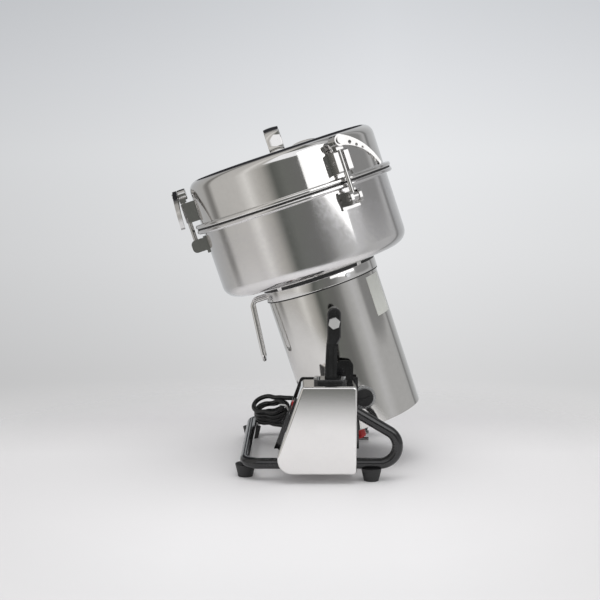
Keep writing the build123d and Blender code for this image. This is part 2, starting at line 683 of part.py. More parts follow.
def make_bail():
    """A bent rod: two arms out of the top band, two legs down, and a grip across."""
    start, out = -BAND_RADIUS + 10, -BAND_RADIUS - BAIL_OUT
    foot, low = out - BAIL_FLARE, BAIL_LOW
    route = []
    for x, y, z in ((start, -1, BAIL_LEVEL), (out, -1, BAIL_LEVEL), (foot, -1, low)):
        route.append((x, y * BAIL_HALF, z))
    for x, y, z in ((foot, 1, low), (out, 1, BAIL_LEVEL), (start, 1, BAIL_LEVEL)):
        route.append((x, y * BAIL_HALF, z))
    path = FilletPolyline(*route, radius=BAIL_BEND)
    section = Plane(origin=route[0], z_dir=(-1, 0, 0)) * Circle(BAIL_RADIUS)
    return sweep(section, path)


def make_label():
    patch = ring(CASING_RADIUS, CASING_RADIUS + FREE_GAP, LABEL_LOW, LABEL_HIGH)
    wedge = block(0, CASING_RADIUS + 10, -LABEL_WIDTH / 2, LABEL_WIDTH / 2, LABEL_LOW - 1, LABEL_HIGH + 1)
    return patch & (Rotation(0, 0, LABEL_TURN - 90) * wedge)


# Stand tube, drawn about the foot of the tilt axis


def tube_route(side):
    """The side loop: down the sloping run, round the rear bend and along the floor run."""
    rise = (TUBE_VERTEX - TUBE_INNER_END) * tan(radians(TUBE_SLOPE))
    y = side * TUBE_SIDE
    return [(TUBE_INNER_END, y, TUBE_LEVEL + rise), (TUBE_VERTEX, y, TUBE_LEVEL), (0, y, TUBE_LEVEL)]


def tube_path():
    near, far = tube_route(-1), tube_route(1)
    front = [(0, -TUBE_SIDE, TUBE_LEVEL), (TUBE_FRONT, -TUBE_SIDE, TUBE_LEVEL),
             (TUBE_FRONT, TUBE_SIDE, TUBE_LEVEL), (0, TUBE_SIDE, TUBE_LEVEL)]
    wires = [FilletPolyline(*near, radius=TUBE_LOOP), FilletPolyline(*front, radius=TUBE_CORNER),
             FilletPolyline(*reversed(far), radius=TUBE_LOOP)]
    return Wire([e for w in wires for e in w.edges()])


def tube_solid(radius):
    slope = radians(TUBE_SLOPE)
    start = tube_route(-1)[0]
    section = Plane(origin=start, z_dir=(cos(slope), 0, -sin(slope))) * Circle(radius)
    return sweep(section, tube_path())


def make_stand_tube():
    tube = tube_solid(TUBE_RADIUS) - tube_solid(TUBE_RADIUS - TUBE_WALL)
    for x, y in foot_places():
        tube -= Pos(x, y, 0) * disc(2 + RUN_FIT, 0, TUBE_LEVEL)
    return tube


# Side plates and covers, drawn for the near side


def cover_block(front, slant, inset, y0, y1):
    """A cover's outer form behind its front's top edge, drawn in by a wall where an inset is given."""
    side = inset * sqrt(1 + slant * slant)
    low, high = COVER_BOTTOM + inset, COVER_TOP - inset
    foot = front - slant * (COVER_TOP - COVER_BOTTOM) + side + slant * inset
    top = front + side - slant * inset
    body = side_prism([(foot, low), (COVER_REAR - inset, low), (COVER_REAR - inset, high), (top, high)],
                      y0, y1)
    uprights = body.edges().filter_by(Axis.Y)
    front_low = uprights.sort_by(Axis.X)[0]
    body = fillet(front_low, max(19 - inset, 2))
    others = [e for e in body.edges().filter_by(Axis.Y)
              if (e @ 0.5).X > COVER_REAR - 3 or (e @ 0.5).Z > COVER_TOP - 3]
    return fillet(others, max(4.5 - inset, 1))


def slant_frame(height, y):
    """A plane on the sloping front wall: X up the slope, Y along it, Z outward."""
    x = COVER_FRONT_TOP - SLANT * (COVER_TOP - height)
    length = sqrt(1 + SLANT * SLANT)
    up = (SLANT / length, 0, 1 / length)
    out = (-1 / length, 0, SLANT / length)
    return Plane(origin=(x, y, height), x_dir=up, z_dir=out)


def make_side_cover(tube_clear, front, slant):
    back = -PLATE_OUTER
    outer = cover_block(front, slant, 0, -COVER_OUTER, back)
    face = outer.faces().sort_by(Axis.Y)[0]
    outer = fillet(face.edges(), 3.0)
    cover = outer - cover_block(front, slant, COVER_WALL, -COVER_OUTER + COVER_WALL, back + 1)
    cover -= tube_clear
    for x in POST_SCREW_X:
        cover -= Pos(x, POST_SCREW_Y, 0) * disc(2 + SEAT_FIT, COVER_TOP - 5, COVER_TOP + 1)
    return cover


def make_side_plate(tube_outer, front, slant, lip):
    """The black carrier: an upright plate with a shelf for the post and seats for the tube."""
    top, low = COVER_TOP + PLATE_RISE, PLATE_LOW
    foot = front - slant * (COVER_TOP - low) - lip
    outline = [(front - PLATE_RISE, top), (foot, low), (COVER_REAR + 6, low), (COVER_REAR + 4, top)]
    plate = side_prism(outline, -PLATE_OUTER, -PLATE_INNER)
    plate = fillet(plate.edges().filter_by(Axis.Y).group_by(Axis.Z)[-1].sort_by(Axis.X)[0], PLATE_CORNER)
    ear = block(EAR_FRONT, EAR_FRONT + EAR_WIDTH, -PLATE_OUTER, -PLATE_INNER, top - 3, EAR_TOP)
    ear = fillet([e for e in ear.edges().filter_by(Axis.Y) if (e @ 0.5).Z > EAR_TOP - 1], 7)
    shelf = block(front + 5, COVER_REAR - 6, -COVER_OUTER + 9, -PLATE_OUTER + 0.5, SHELF_TOP - 3, SHELF_TOP)
    seats = block(-44, -26, -TUBE_SIDE - 8, -PLATE_OUTER + 0.5, TUBE_LEVEL, low + 6)
    seats += block(4, 22, -TUBE_SIDE - 8, -PLATE_OUTER + 0.5, TUBE_LEVEL, low + 6)
    end = tube_route(-1)[0][2]
    seats += block(TUBE_INNER_END - 4, TUBE_INNER_END + 18, -TUBE_SIDE, -PLATE_OUTER + 0.5, end - 24, end + 2)
    plate = plate + ear + shelf + (seats - tube_outer)
    for x in POST_SCREW_X:
        plate -= Pos(x, POST_SCREW_Y, 0) * disc(2 + RUN_FIT, SHELF_TOP - 5, SHELF_TOP + 1)
    return plate


def make_post():
    """The cast post: a foot on the cover, a ribbed column and a flat head for the tilt bolt."""
    middle = -(POST_INNER + POST_THICKNESS / 2)
    head = POST_WIDTH / 2
    neck, knee = PIVOT_HEIGHT - 27, PIVOT_HEIGHT - 19
    foot_top = COVER_TOP + 6
    outline = [(-11.5, foot_top - 1), (3.5, foot_top - 1), (4.5, neck), (head, knee),
               (head, PIVOT_HEIGHT + 10), (-head, PIVOT_HEIGHT + 10), (-head, knee), (-9.5, neck)]
    outer = -(POST_INNER + POST_THICKNESS)
    post = side_prism(outline, outer, -POST_INNER)
    crown = along_y(head, outer, -POST_INNER, z=PIVOT_HEIGHT + 10)
    post += crown
    rims = [e for e in post.edges() if abs((e @ 0.5).Y - outer) < 0.01 and (e @ 0.5).Z > foot_top]
    post = chamfer(rims, 1.5)
    column_face = block(-20, 20, outer - 1, outer + 2.5, foot_top - 2, neck)
    post -= column_face
    for x in (-7.2, -0.8):
        post -= block(x - 1, x + 1, outer, outer + 4, foot_top + 3, neck - 4)
    foot = block(-9 - POST_FOOT / 2 + 0.5, -9 + POST_FOOT / 2 + 8, middle - 15, middle + 15, COVER_TOP,
                 foot_top)
    foot = fillet(foot.edges().filter_by(Axis.Z), 6)
    foot = fillet(foot.edges().group_by(Axis.Z)[-1], 1.5)
    post += foot
    post -= along_y(BOLT_HOLE_RADIUS + 3, -150, -90, z=PIVOT_HEIGHT)
    for x in POST_SCREW_X:
        post -= Pos(x, POST_SCREW_Y, 0) * disc(2 + SEAT_FIT, COVER_TOP - 1, foot_top + 1)
    return post


def make_pivot_bush():
    """A flanged plastic bush between a post and its boss."""
    outer = -(POST_INNER + POST_THICKNESS)
    bush = along_y(BOLT_HOLE_RADIUS + 3, outer, -POST_INNER, z=PIVOT_HEIGHT)
    bush += along_y(BOSS_RADIUS, -POST_INNER, -POST_INNER + 1.2, z=PIVOT_HEIGHT)
    return bush - along_y(BOLT_HOLE_RADIUS + RUN_FIT, -150, -90, z=PIVOT_HEIGHT)


def make_post_screws():
    screws = []
    for x in POST_SCREW_X:
        head = disc(3.6, COVER_TOP + 6, COVER_TOP + 8.2)
        screws.append(Pos(x, POST_SCREW_Y, 0) * (head + disc(2, SHELF_TOP - 7, COVER_TOP + 7)))
    return screws


def foot_places():
    front = [(TUBE_FRONT, s * FOOT_FRONT_Y) for s in (-1, 1)]
    return front + [(FOOT_REAR_X, s * TUBE_SIDE) for s in (-1, 1)]


def make_feet(tube_outer):
    feet = []
    for x, y in foot_places():
        cone = Pos(x, y, FOOT_HEIGHT / 2) * Cone(FOOT_BOTTOM_RADIUS, FOOT_TOP_RADIUS, FOOT_HEIGHT)
        bore = Pos(x, y, 0) * (disc(5, -1, 5) + disc(2 + SEAT_FIT, 0, FOOT_HEIGHT + 1))
        feet.append((cone - bore - tube_outer).solids()[0])
    return Compound(feet)


def make_foot_screws():
    screws = []
    for x, y in foot_places():
        screw = disc(4.2, 2.6, 5) + disc(2, 4, TUBE_LEVEL - TUBE_RADIUS + TUBE_WALL + 1)
        screws.append(Pos(x, y, 0) * screw)
    return Compound(screws)


# Rocker switch on the near cover's sloping wall


def make_switch_body():
    body = Pos(0, 0, -10) * Box(SWITCH_LENGTH - 2.4, SWITCH_WIDTH - 2.4, 22)
    bezel = Pos(0, 0, 1) * Box(SWITCH_LENGTH, SWITCH_WIDTH, 2)
    bezel = fillet(bezel.edges().filter_by(Axis.Z), 2)
    pocket = along_y(ROCKER_RADIUS + FREE_GAP, -5.3, 5.3, z=-1)
    return slant_frame(SWITCH_HEIGHT, SWITCH_Y).location * (body + bezel - pocket)


def switch_opening():
    opening = Box(SWITCH_LENGTH - 2.2, SWITCH_WIDTH - 2.2, 30)
    return slant_frame(SWITCH_HEIGHT, SWITCH_Y).location * opening


def make_rocker():
    """A drum cut to a shallow V, so that one end stands up while the other is pressed in."""
    drum = along_y(ROCKER_RADIUS, -5, 5, z=-1)
    outline = [(-12, 0.6), (0, 2.0), (12, 6.6), (12, 20), (-12, 20)]
    rocker = drum - side_prism(outline, -8, 8)
    return slant_frame(SWITCH_HEIGHT, SWITCH_Y).location * rocker


# Reset button under the motor


def reset_collar():
    """The guide moulded in one with the base: a collar below and a cup above."""
    floor = BASE_TOP + 4
    guide = ring(RESET_RADIUS + FREE_GAP, RESET_RADIUS + 3, CASING_BOTTOM - 4, floor + 2)
    return guide + ring(4 + SEAT_FIT, RESET_RADIUS + 3, floor, floor + 2)


def make_reset_button():
    top = CASING_BOTTOM - 2
    cap = disc(RESET_RADIUS, top - RESET_LENGTH, top)
    cap = fillet(cap.edges().filter_by(GeomType.CIRCLE).sort_by(Axis.Z)[0], 3)
    stem = disc(4, top - 1, BASE_TOP + 4.5)
    return Pos(RESET_X, RESET_Y, 0) * (cap + stem)


# Mains cord: gland in the near plate, lead under the motor, hank, tie and plug


def gland_frame():
    """The gland's own frame: Z points out of the near plate, toward the motor."""
    return Plane(origin=(GLAND_X, -PLATE_INNER, GLAND_HEIGHT), z_dir=(0, 1, 0))


def make_gland():
    body = disc(6.5, -6, 3) + disc(9, 0, 3)
    sleeve = Pos(0, 0, 3 + (GLAND_LENGTH - 3) / 2) * Cone(6, 4.4, GLAND_LENGTH - 3)
    bore = disc(CORD_DIAMETER / 2 + SEAT_FIT, -10, GLAND_LENGTH + 1)
    return gland_frame().location * (body + sleeve - bore)


def gland_opening():
    return gland_frame().location * disc(6.6, -8, 6)


def hank_plane():
    """The hank's own frame: Y along its runs, X across them and Z up through its layers."""
    turn, lean = radians(HANK_TURN), radians(HANK_LEAN)
    along = Vector(cos(turn), -sin(turn), 0)
    across = Vector(sin(turn) * cos(lean), cos(turn) * cos(lean), sin(lean))
    return Plane(origin=(HANK_X, HANK_Y, HANK_HEIGHT), x_dir=across * -1, z_dir=along.cross(across))


def hank_level(layer):
    """The middle of a layer of the hank, counted from the lowest of four."""
    return HANK_LAYER * (layer - 1.5)


def hank_offsets():
    """How far each run lies from the hank's middle, and its first and last layer."""
    outer, inner = HANK_INNER + HANK_STEP, HANK_INNER
    middle = HANK_INNER + HANK_STEP / 2
    offsets = [middle, inner, middle, outer, middle, inner, middle]
    layers = [(3, 3), (3, 2), (2, 2), (2, 1), (1, 1), (1, 0), (0, 0)]
    return list(zip(offsets, layers))


def lead_points():
    """The lead's route: out of the gland, down under the motor and in line with the hank's lowest run."""
    gland = gland_frame()
    start = gland.origin + gland.z_dir * 2
    out = gland.origin + gland.z_dir * LEAD_OUT
    end = hank_runs()[-1] @ 1
    level = end + hank_plane().y_dir * LEAD_IN
    sag = Vector(out.X + LEAD_BULGE, out.Y + LEAD_SAG, LEAD_LOW)
    return [start, out, sag, level, end]


def make_lead():
    points = lead_points()
    path = rounded_route(points)
    section = Plane(origin=points[0], z_dir=points[1] - points[0]) * Circle(CORD_DIAMETER / 2)
    return sweep(section, path)


def rounded_route(points):
    """Straight runs joined by tangent arcs, each as wide as its shorter run allows."""
    edges = []
    start = points[0]
    for before, corner, after in zip(points, points[1:], points[2:]):
        into, away = (corner - before).normalized(), (after - corner).normalized()
        turn = into.get_angle(away)
        back = 0.45 * min((corner - before).length, (after - corner).length)
        print("cord arc radius", round(back / tan(radians(turn / 2)), 1))
        first, last = corner - into * back, corner + away * back
        bulge = (away - into).normalized()
        radius = back / tan(radians(turn / 2))
        middle = corner + bulge * (radius / cos(radians(turn / 2)) - radius)
        edges.append(Line(start, first))
        edges.append(ThreePointArc(first, middle, last))
        start = last
    edges.append(Line(start, points[-1]))
    return Wire([e for part in edges for e in part.edges()])


def hank_runs():
    """From the top: a straight run, then runs on both sides, drawn in at the waist, joined by half turns."""
    half = HANK_RUN / 2
    place = Vector(-HANK_INNER - HANK_STEP - HANK_TAIL_STEP, -half, hank_level(3))
    edges = [Line(place + Vector(0, HANK_RUN, 0), place)]
    side, heading = 1, 1
    for offset, (first, last) in hank_offsets():
        begin = Vector(side * offset, -heading * half, hank_level(first))
        finish = Vector(begin.X, heading * half, hank_level(last))
        bend = Vector((place.X + begin.X) / 2, begin.Y - heading * abs(begin.X - place.X) / 2, begin.Z)
        waist = Vector(begin.X - side * HANK_WAIST, 0, (begin.Z + finish.Z) / 2)
        edges.append(ThreePointArc(place, bend, begin))
        way = (0, heading, 0)
        edges.append(Spline(begin, waist, finish, tangents=[way, way]))
        place = finish
        side, heading = -side, -heading
    edges.append(Line(place, place + Vector(0, CORD_DIAMETER, 0)))
    return [hank_plane().location * edge for edge in edges]


def hank_tail():
    """From the plug on the floor, along X: a double bend up, a bend in plan and the way to the top run."""
    start = hank_runs()[0] @ 0
    along, turn, bend = hank_plane().y_dir, radians(HANK_TURN), TAIL_BEND
    out = start + along * TAIL_OUT
    middle = out + Vector(bend * sin(turn), bend * cos(turn), 0)
    half_way = middle - Vector(bend * sin(turn / 2), bend * cos(turn / 2), 0)
    level = middle - Vector(0, bend, 0)
    drop = start.Z - PLUG_LEVEL
    dip = acos(1 - drop / (2 * bend))
    half = level + Vector(bend * sin(dip), 0, -drop / 2)
    end = level + Vector(2 * bend * sin(dip), 0, -drop)
    ease = Vector(bend * sin(dip / 2), 0, bend * (cos(dip / 2) - 1))
    return [Line(end + Vector(CORD_DIAMETER, 0, 0), end), ThreePointArc(end, end - ease, half),
            ThreePointArc(half, level + ease, level), ThreePointArc(level, half_way, out), Line(out, start)]


def make_hank():
    edges = hank_tail() + hank_runs()
    path = Wire([e for part in edges for e in part.edges()])
    print("least gap between the hank's passes", round(least_gap(edges), 2))
    section = Plane(origin=edges[0] @ 0, z_dir=edges[0] % 0) * Circle(CORD_DIAMETER / 2)
    return sweep(section, path)


def least_gap(edges, spacing=1.5):
    """The least gap between passes of a cord, measured on points along its middle."""
    points, way = [], 0.0
    for edge in edges:
        steps = max(int(edge.length / spacing), 1)
        for i in range(steps):
            points.append((way + edge.length * i / steps, edge @ (i / steps)))
        way += edge.length
    apart = 3 * CORD_DIAMETER
    gaps = [(p - q).length for i, (a, p) in enumerate(points) for b, q in points[i:] if b - a > apart]
    return min(gaps) - CORD_DIAMETER


def plug_frame():
    """The plug's own frame: Z along it, from the cord to the pins."""
    return Plane(origin=hank_tail()[0] @ 1, z_dir=(1, 0, 0))


def make_tie():
    """A narrow band round the bundle of half turns at the hank's near end."""
    room = CORD_DIAMETER / 2 + 0.4
    back = HANK_RUN / 2 + HANK_INNER + HANK_STEP / 4 - room
    front = HANK_RUN / 2 + HANK_INNER + HANK_STEP * 3 / 4 + room
    low, high = hank_level(1) - room, hank_level(3) + room
    hole = block(-5, 5, back, front, low, high)
    band = block(-1.5, 1.5, back - 0.8, front + 0.8, low - 0.8, high + 0.8)
    return hank_plane().location * (band - hole)


def make_plug():
    body = Pos(0, 0, PLUG_LENGTH / 2 + 10) * Cone(PLUG_RADIUS, PLUG_RADIUS - 0.5, PLUG_LENGTH)
    neck = Pos(0, 0, 6) * Cone(4.6, 6.5, 12)
    plug = body + neck
    for z in (16, 20, 24):
        plug += ring(PLUG_RADIUS - 2, PLUG_RADIUS + PLUG_GRIP, z, z + 1.5)
    plug -= disc(CORD_DIAMETER / 2 + SEAT_FIT, -1, CORD_DIAMETER)
    return plug_frame().location * plug


def make_plug_pins():
    pins = [Pos(side * 5, 0, 0) * disc(2.4, PLUG_LENGTH + 10, PLUG_LENGTH + 28) for side in (-1, 1)]
    return plug_frame().location * Compound(pins)


def build_stand():
    tube_outer = tube_solid(TUBE_RADIUS)
    tube_clear = tube_solid(TUBE_RADIUS + 1.0)
    cover_near = make_side_cover(tube_clear, COVER_FRONT_TOP, SLANT)
    cover_far = make_side_cover(tube_clear, FAR_FRONT_TOP, FAR_SLANT)
    plate_near = make_side_plate(tube_outer, COVER_FRONT_TOP, SLANT, PLATE_LIP)
    plate_far = make_side_plate(tube_outer, FAR_FRONT_TOP, FAR_SLANT, 0)
    post = make_post()
    bush = make_pivot_bush()
    screws = make_post_screws()
    pieces = {
        "stand_tube": make_stand_tube(),
        "side_plate_near": plate_near - gland_opening(),
        "side_plate_far": far_side(plate_far),
        "side_cover_near": cover_near - switch_opening(),
        "side_cover_far": far_side(cover_far),
        "pivot_post_near": post,
        "pivot_post_far": far_side(post),
        "post_screws": Compound(screws + [far_side(s) for s in screws]),
        "pivot_bushes": Compound([bush, far_side(bush)]),
        "rubber_feet": make_feet(tube_outer),
        "foot_screws": make_foot_screws(),
        "switch_body": make_switch_body(),
        "switch_rocker": make_rocker(),
        "cord_gland": make_gland(),
        "cord_lead": make_lead(),
        "cord_hank": make_hank(),
        "cord_tie": make_tie(),
        "plug_body": make_plug(),
        "plug_pins": make_plug_pins(),
    }
    return {name: on_stand(shape) for name, shape in pieces.items()}


def build_grinder():
    trunnions = [make_trunnion(-1), make_trunnion(1)]
    bolts = [make_pivot_bolt(-1), make_pivot_bolt(1)]
    clevises = [at_latch(make_clevis(), a) for a in LATCH_AZIMUTHS]
    pins = [at_latch(make_clevis_pin(), a) for a in LATCH_AZIMUTHS]
    forks = [at_latch(make_fork(), a) for a in LATCH_AZIMUTHS]
    pieces = {
        "motor_casing": make_casing(),
        "motor_top_plate": make_top_plate(),
        "band_screws": make_band_screws(),
        "motor_base": make_base(),
        "shaft_bearings": Compound([make_bearing(CASING_TOP), make_bearing(BRACKET_BOTTOM)]),
        "bearing_bracket": make_bearing_bracket(),
        "stator_core": make_stator(),
        "field_coils": make_field_coils(),
        "brush_holders": make_brush_holders(),
        "carbon_brushes": make_brushes(),
        "brush_caps": make_brush_caps(),
        "trunnion_bosses": Compound(trunnions),
        "pivot_bolts": Compound(bolts),
        "tilt_bail": make_bail(),
        "blank_label": make_label(),
        "bowl_gasket": make_bowl_gasket(),
        "grinding_bowl": make_bowl(),
        "bowl_screws": make_bowl_screws(),
        "shaft_seal": make_shaft_seal(),
        "latch_clevises": Compound(clevises),
        "clevis_pins": Compound(pins),
        "motor_shaft": make_shaft(),
        "armature_core": make_armature(),
        "armature_coils": make_armature_coils(),
        "commutator": make_commutator(),
        "cooling_fan": make_fan(),
        "lower_blade": make_lower_blade(),
        "upper_blade": make_upper_blade(),
        "blade_spacer": make_blade_spacer(),
        "blade_nut": make_blade_nut(),
        "lid_shell": make_lid(),
        "lid_gasket": make_lid_gasket(),
        "lid_handle": make_lid_handle(),
        "latch_forks": Compound(forks),
        "reset_button": make_reset_button(),
    }
    for number, (azimuth, rest) in enumerate(zip(LATCH_AZIMUTHS, LEVER_RESTS), start=1):
        pieces[f"latch_bolt_{number}"] = at_latch(make_latch_bolt(), azimuth)
        pieces[f"latch_lever_{number}"] = at_latch(make_lever(rest), azimuth)
    return {name: leaned(shape) for name, shape in pieces.items()}


for piece_name, piece in {**build_stand(), **build_grinder()}.items():
    export_step(piece, f"parts/{piece_name}.step")
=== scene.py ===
import bmesh
import bpy
import numpy as np
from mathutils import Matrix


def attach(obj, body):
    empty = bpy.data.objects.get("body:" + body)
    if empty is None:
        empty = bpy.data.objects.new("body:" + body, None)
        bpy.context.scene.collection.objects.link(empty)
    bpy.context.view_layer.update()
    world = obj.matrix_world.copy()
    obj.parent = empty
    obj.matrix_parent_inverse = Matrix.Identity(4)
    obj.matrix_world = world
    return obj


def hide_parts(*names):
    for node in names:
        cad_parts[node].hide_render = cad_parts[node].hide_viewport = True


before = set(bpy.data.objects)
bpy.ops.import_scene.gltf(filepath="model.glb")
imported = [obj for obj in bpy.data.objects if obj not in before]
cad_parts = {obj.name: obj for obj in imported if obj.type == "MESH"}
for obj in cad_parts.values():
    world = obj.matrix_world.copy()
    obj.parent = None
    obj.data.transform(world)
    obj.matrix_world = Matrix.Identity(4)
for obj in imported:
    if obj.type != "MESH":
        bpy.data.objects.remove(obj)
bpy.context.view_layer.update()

bl_info = {
    "name": "Swing grain grinder",
    "version": (1, 0, 0),
    "blender": (4, 5, 0),
    "location": "View3D > Sidebar > Grinder",
    "description": "Dresses the packed grain grinder with its steel, paint, rubber and cord",
    "category": "Object",
}

MM = 0.001
PIVOT = np.array([0.04668, -0.00848, 0.200])
LEAN = np.radians(18.5)
WASHER_FACE = 125.9 * MM

# Millimetres out from the grinder's axis and along it from the tilt axis

CASING_RADIUS = 76.0
CASING_BORE = 74.0
CASING_BOTTOM = -151.0
CASING_TOP = 39.0
BAND_RADIUS = 78.0
BAND_TOP = 52.5
BOWL_RADIUS = 128.0
BOWL_WALL = 1.5
BOWL_HOLE = 12.2
BOWL_BOTTOM = 60.0
RIM_RADIUS = 136.0
LID_TOP = 223.0
LID_WALL = 1.2

# Stage and camera, in metres, degrees and pixels

FLOOR_MIDDLE = -0.1
CAMERA_X = 0.00068
CAMERA_PITCH = 6.52
CAMERA_YAW = -0.157
FOCAL_PIXELS = 1094
PICTURE_PIXELS = 600
SENSOR_WIDTH = 36.0


# Shared helpers for places and meshes


def on_stand(points):
    """Stand millimetres about the foot of the tilt axis, to metres in the shared frame."""
    return np.asarray(points, float) * MM + PIVOT * [1, 1, 0]


def leaned(points):
    """Grinder millimetres about the tilt axis, turned by the lean about Y, to metres."""
    p = np.asarray(points, float) * MM
    x = p[..., 0] * np.cos(LEAN) - p[..., 2] * np.sin(LEAN)
    z = p[..., 0] * np.sin(LEAN) + p[..., 2] * np.cos(LEAN)
    return np.stack([x, p[..., 1], z], -1) + PIVOT


def grid_faces(rows, columns, wrap_rows, wrap_columns):
    """Quads of a grid: each joins a point to its next along the rows and along the columns."""
    i = np.arange(rows if wrap_rows else rows - 1)
    j = np.arange(columns if wrap_columns else columns - 1)
    i, j = np.meshgrid(i, j, indexing="ij")
    i2, j2 = (i + 1) % rows, (j + 1) % columns
    quads = [i * columns + j, i2 * columns + j, i2 * columns + j2, i * columns + j2]
    return np.stack(quads, -1).reshape(-1, 4)


def filleted(corners, steps=7):
    """A profile of radius and height: each corner is cut back by its radius times the tangent of half its
    turn, and an arc of that radius joins the two cuts. A corner of radius 0 stays a point."""
    places = np.array([c[:2] for c in corners], float)
    before, after = np.roll(places, 1, 0), np.roll(places, -1, 0)
    profile = []
    for (*_, radius), corner, first, last in zip(corners, places, before, after):
        into, away = corner - first, last - corner
        into, away = into / np.linalg.norm(into), away / np.linalg.norm(away)
        turn = np.arctan2(into[0] * away[1] - into[1] * away[0], into @ away)
        if radius == 0 or abs(turn) < 1e-6:
            profile.append(corner[None])
            continue
        normal = np.array([-into[1], into[0]]) * np.sign(turn)
        centre = corner - into * radius * np.tan(abs(turn) / 2) + normal * radius
        swing = np.linspace(0, turn, steps)[:, None]
        arm = -normal * radius
        side = np.array([-arm[1], arm[0]])
        profile.append(centre + arm * np.cos(swing) + side * np.sin(swing))
    return np.concatenate(profile)


def turned(corners, segments=192):
    """A turned piece: the filleted profile carried round the grinder's axis, (r cos a, r sin a, z)."""
    profile = filleted(corners)
    r, z = profile[:, 0], profile[:, 1]
    area = np.sum(r * np.roll(z, -1) - z * np.roll(r, -1))
    if area > 0:
        r, z = r[::-1], z[::-1]
    angle = np.linspace(0, 2 * np.pi, segments, endpoint=False)
    points = np.stack([r[:, None] * np.cos(angle), r[:, None] * np.sin(angle), z[:, None] + 0 * angle], -1)
    return leaned(points), grid_faces(len(r), segments, True, True)


def band_lugs():
    """Four lugs on the band's rim, raised with a soft top edge from a rounded plan:
    |t / half width|^8 + |(r - middle) / half depth|^8 = 1."""
    middle, half_depth, half_width = 74.1, 3.5, 4.5
    turn = np.linspace(0, 2 * np.pi, 32, endpoint=False)
    size = (np.abs(np.cos(turn)) ** 8 + np.abs(np.sin(turn)) ** 8) ** -0.125
    plan = np.stack([half_depth * size * np.cos(turn), half_width * size * np.sin(turn)], -1)
    shrink = np.array([0.0, 1.0, 1.0, 0.97, 0.9, 0.0])[:, None]
    level = BOWL_BOTTOM - np.array([9.0, 9.0, 0.6, 0.2, 0.0, 0.0])
    rows, columns = len(level), len(turn)
    points, faces = [], []
    for angle in np.radians((45, 135, 225, 315)):
        r, t = middle + shrink * plan[:, 0], shrink * plan[:, 1]
        x, y = r * np.cos(angle) - t * np.sin(angle), r * np.sin(angle) + t * np.cos(angle)
        faces.append(grid_faces(rows, columns, False, True)[:, ::-1] + rows * columns * len(points))
        points.append(np.stack([x, y, level[:, None] + 0 * x], -1).reshape(-1, 3))
    return leaned(np.concatenate(points)), np.concatenate(faces)


def handle_strap():
    """A strap bent to an arch across the lid. The outer and inner lines in y and z have the same stations,
    x is the half width times u, and the outer face falls toward the inner by the crown times u^2 of the
    strap."""
    half_width, crown, edge_fall, steps = 10.0, 0.42, 0.5, 13

    def arch(half):
        """A filleted line of y and z, from one half of its corners, each with its radius."""
        return filleted([(-y, z, radius) for y, z, radius in half] + half[::-1], steps)

    outer = arch([(60.0, 3.0, 0), (48.4, 3.0, 9.0), (40.3, 34.0, 23.0)])
    inner = arch([(60.0, 0.0, 0), (46.0, 0.0, 12.0), (38.0, 31.0, 20.0)])
    across = np.concatenate([[-1.0], np.linspace(-0.98, 0.98, 21), [1.0]])
    fall = np.where(np.abs(across) > 0.99, edge_fall, crown * across ** 2)[:, None]
    face = outer[:, None] + (inner - outer)[:, None] * fall
    back = inner[:, None] + 0 * fall
    ring = np.concatenate([face, back[:, ::-1]], 1)
    x = np.broadcast_to(half_width * np.concatenate([across, across[::-1]]), ring.shape[:2])
    points = np.stack([x, ring[..., 0], ring[..., 1] + LID_TOP], -1)
    ends = [np.broadcast_to(row.mean(0), row.shape)[None] for row in (points[0], points[-1])]
    points = np.concatenate([ends[0], points, ends[1]])
    return leaned(points), grid_faces(len(points), points.shape[1], False, True)


def joined(first, second):
    """Two meshes as one: the second's faces count on from the first's points."""
    points = [mesh[0].reshape(-1, 3) for mesh in (first, second)]
    return np.concatenate(points), np.concatenate([first[1], second[1] + len(points[0])])


def add_piece(name, points, faces, material, body, slot, replaces=()):
    """Makes a mesh piece, shaded smooth, that rides on a body and may stand for CAD nodes."""
    mesh = bpy.data.meshes.new(name)
    mesh.from_pydata(points.reshape(-1, 3).tolist(), [], faces.tolist())
    merge_doubles(mesh)
    mesh.polygons.foreach_set("use_smooth", np.ones(len(mesh.polygons), bool))
    mesh.materials.append(material)
    piece = bpy.data.objects.new(name, mesh)
    bpy.context.scene.collection.objects.link(piece)
    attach(piece, body)
    if replaces:
        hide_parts(*replaces)
    return piece


def merge_doubles(mesh):
    """Closes seams and poles, where points of the grid fall on each other."""
    work = bmesh.new()
    work.from_mesh(mesh)
    bmesh.ops.remove_doubles(work, verts=work.verts, dist=1e-6)
    work.to_mesh(mesh)
    work.free()


def dress(nodes, material):
    """Gives CAD nodes a material, in every slot that they have."""
    for name in nodes:
        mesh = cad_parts[name].data
        mesh.materials.clear()
        mesh.materials.append(material)


# Node groups shared by the materials


def new_group(name, inputs, outputs):
    """A shader node group with its sockets, and its input and output nodes."""
    group = bpy.data.node_groups.new(name, "ShaderNodeTree")
    for label, kind, default in inputs:
        socket = group.interface.new_socket(label, in_out="INPUT", socket_type=kind)
        if default is not None:
            socket.default_value = default
    for label, kind in outputs:
        group.interface.new_socket(label, in_out="OUTPUT", socket_type=kind)
    return group, group.nodes.new("NodeGroupInput"), group.nodes.new("NodeGroupOutput")


def add_node(tree, kind, values=None, **settings):
    """A node with its settings and the values of its inputs."""
    node = tree.nodes.new(kind)
    for key, value in settings.items():
        setattr(node, key, value)
    for key, value in (values or {}).items():
        node.inputs[key].default_value = value
    return node


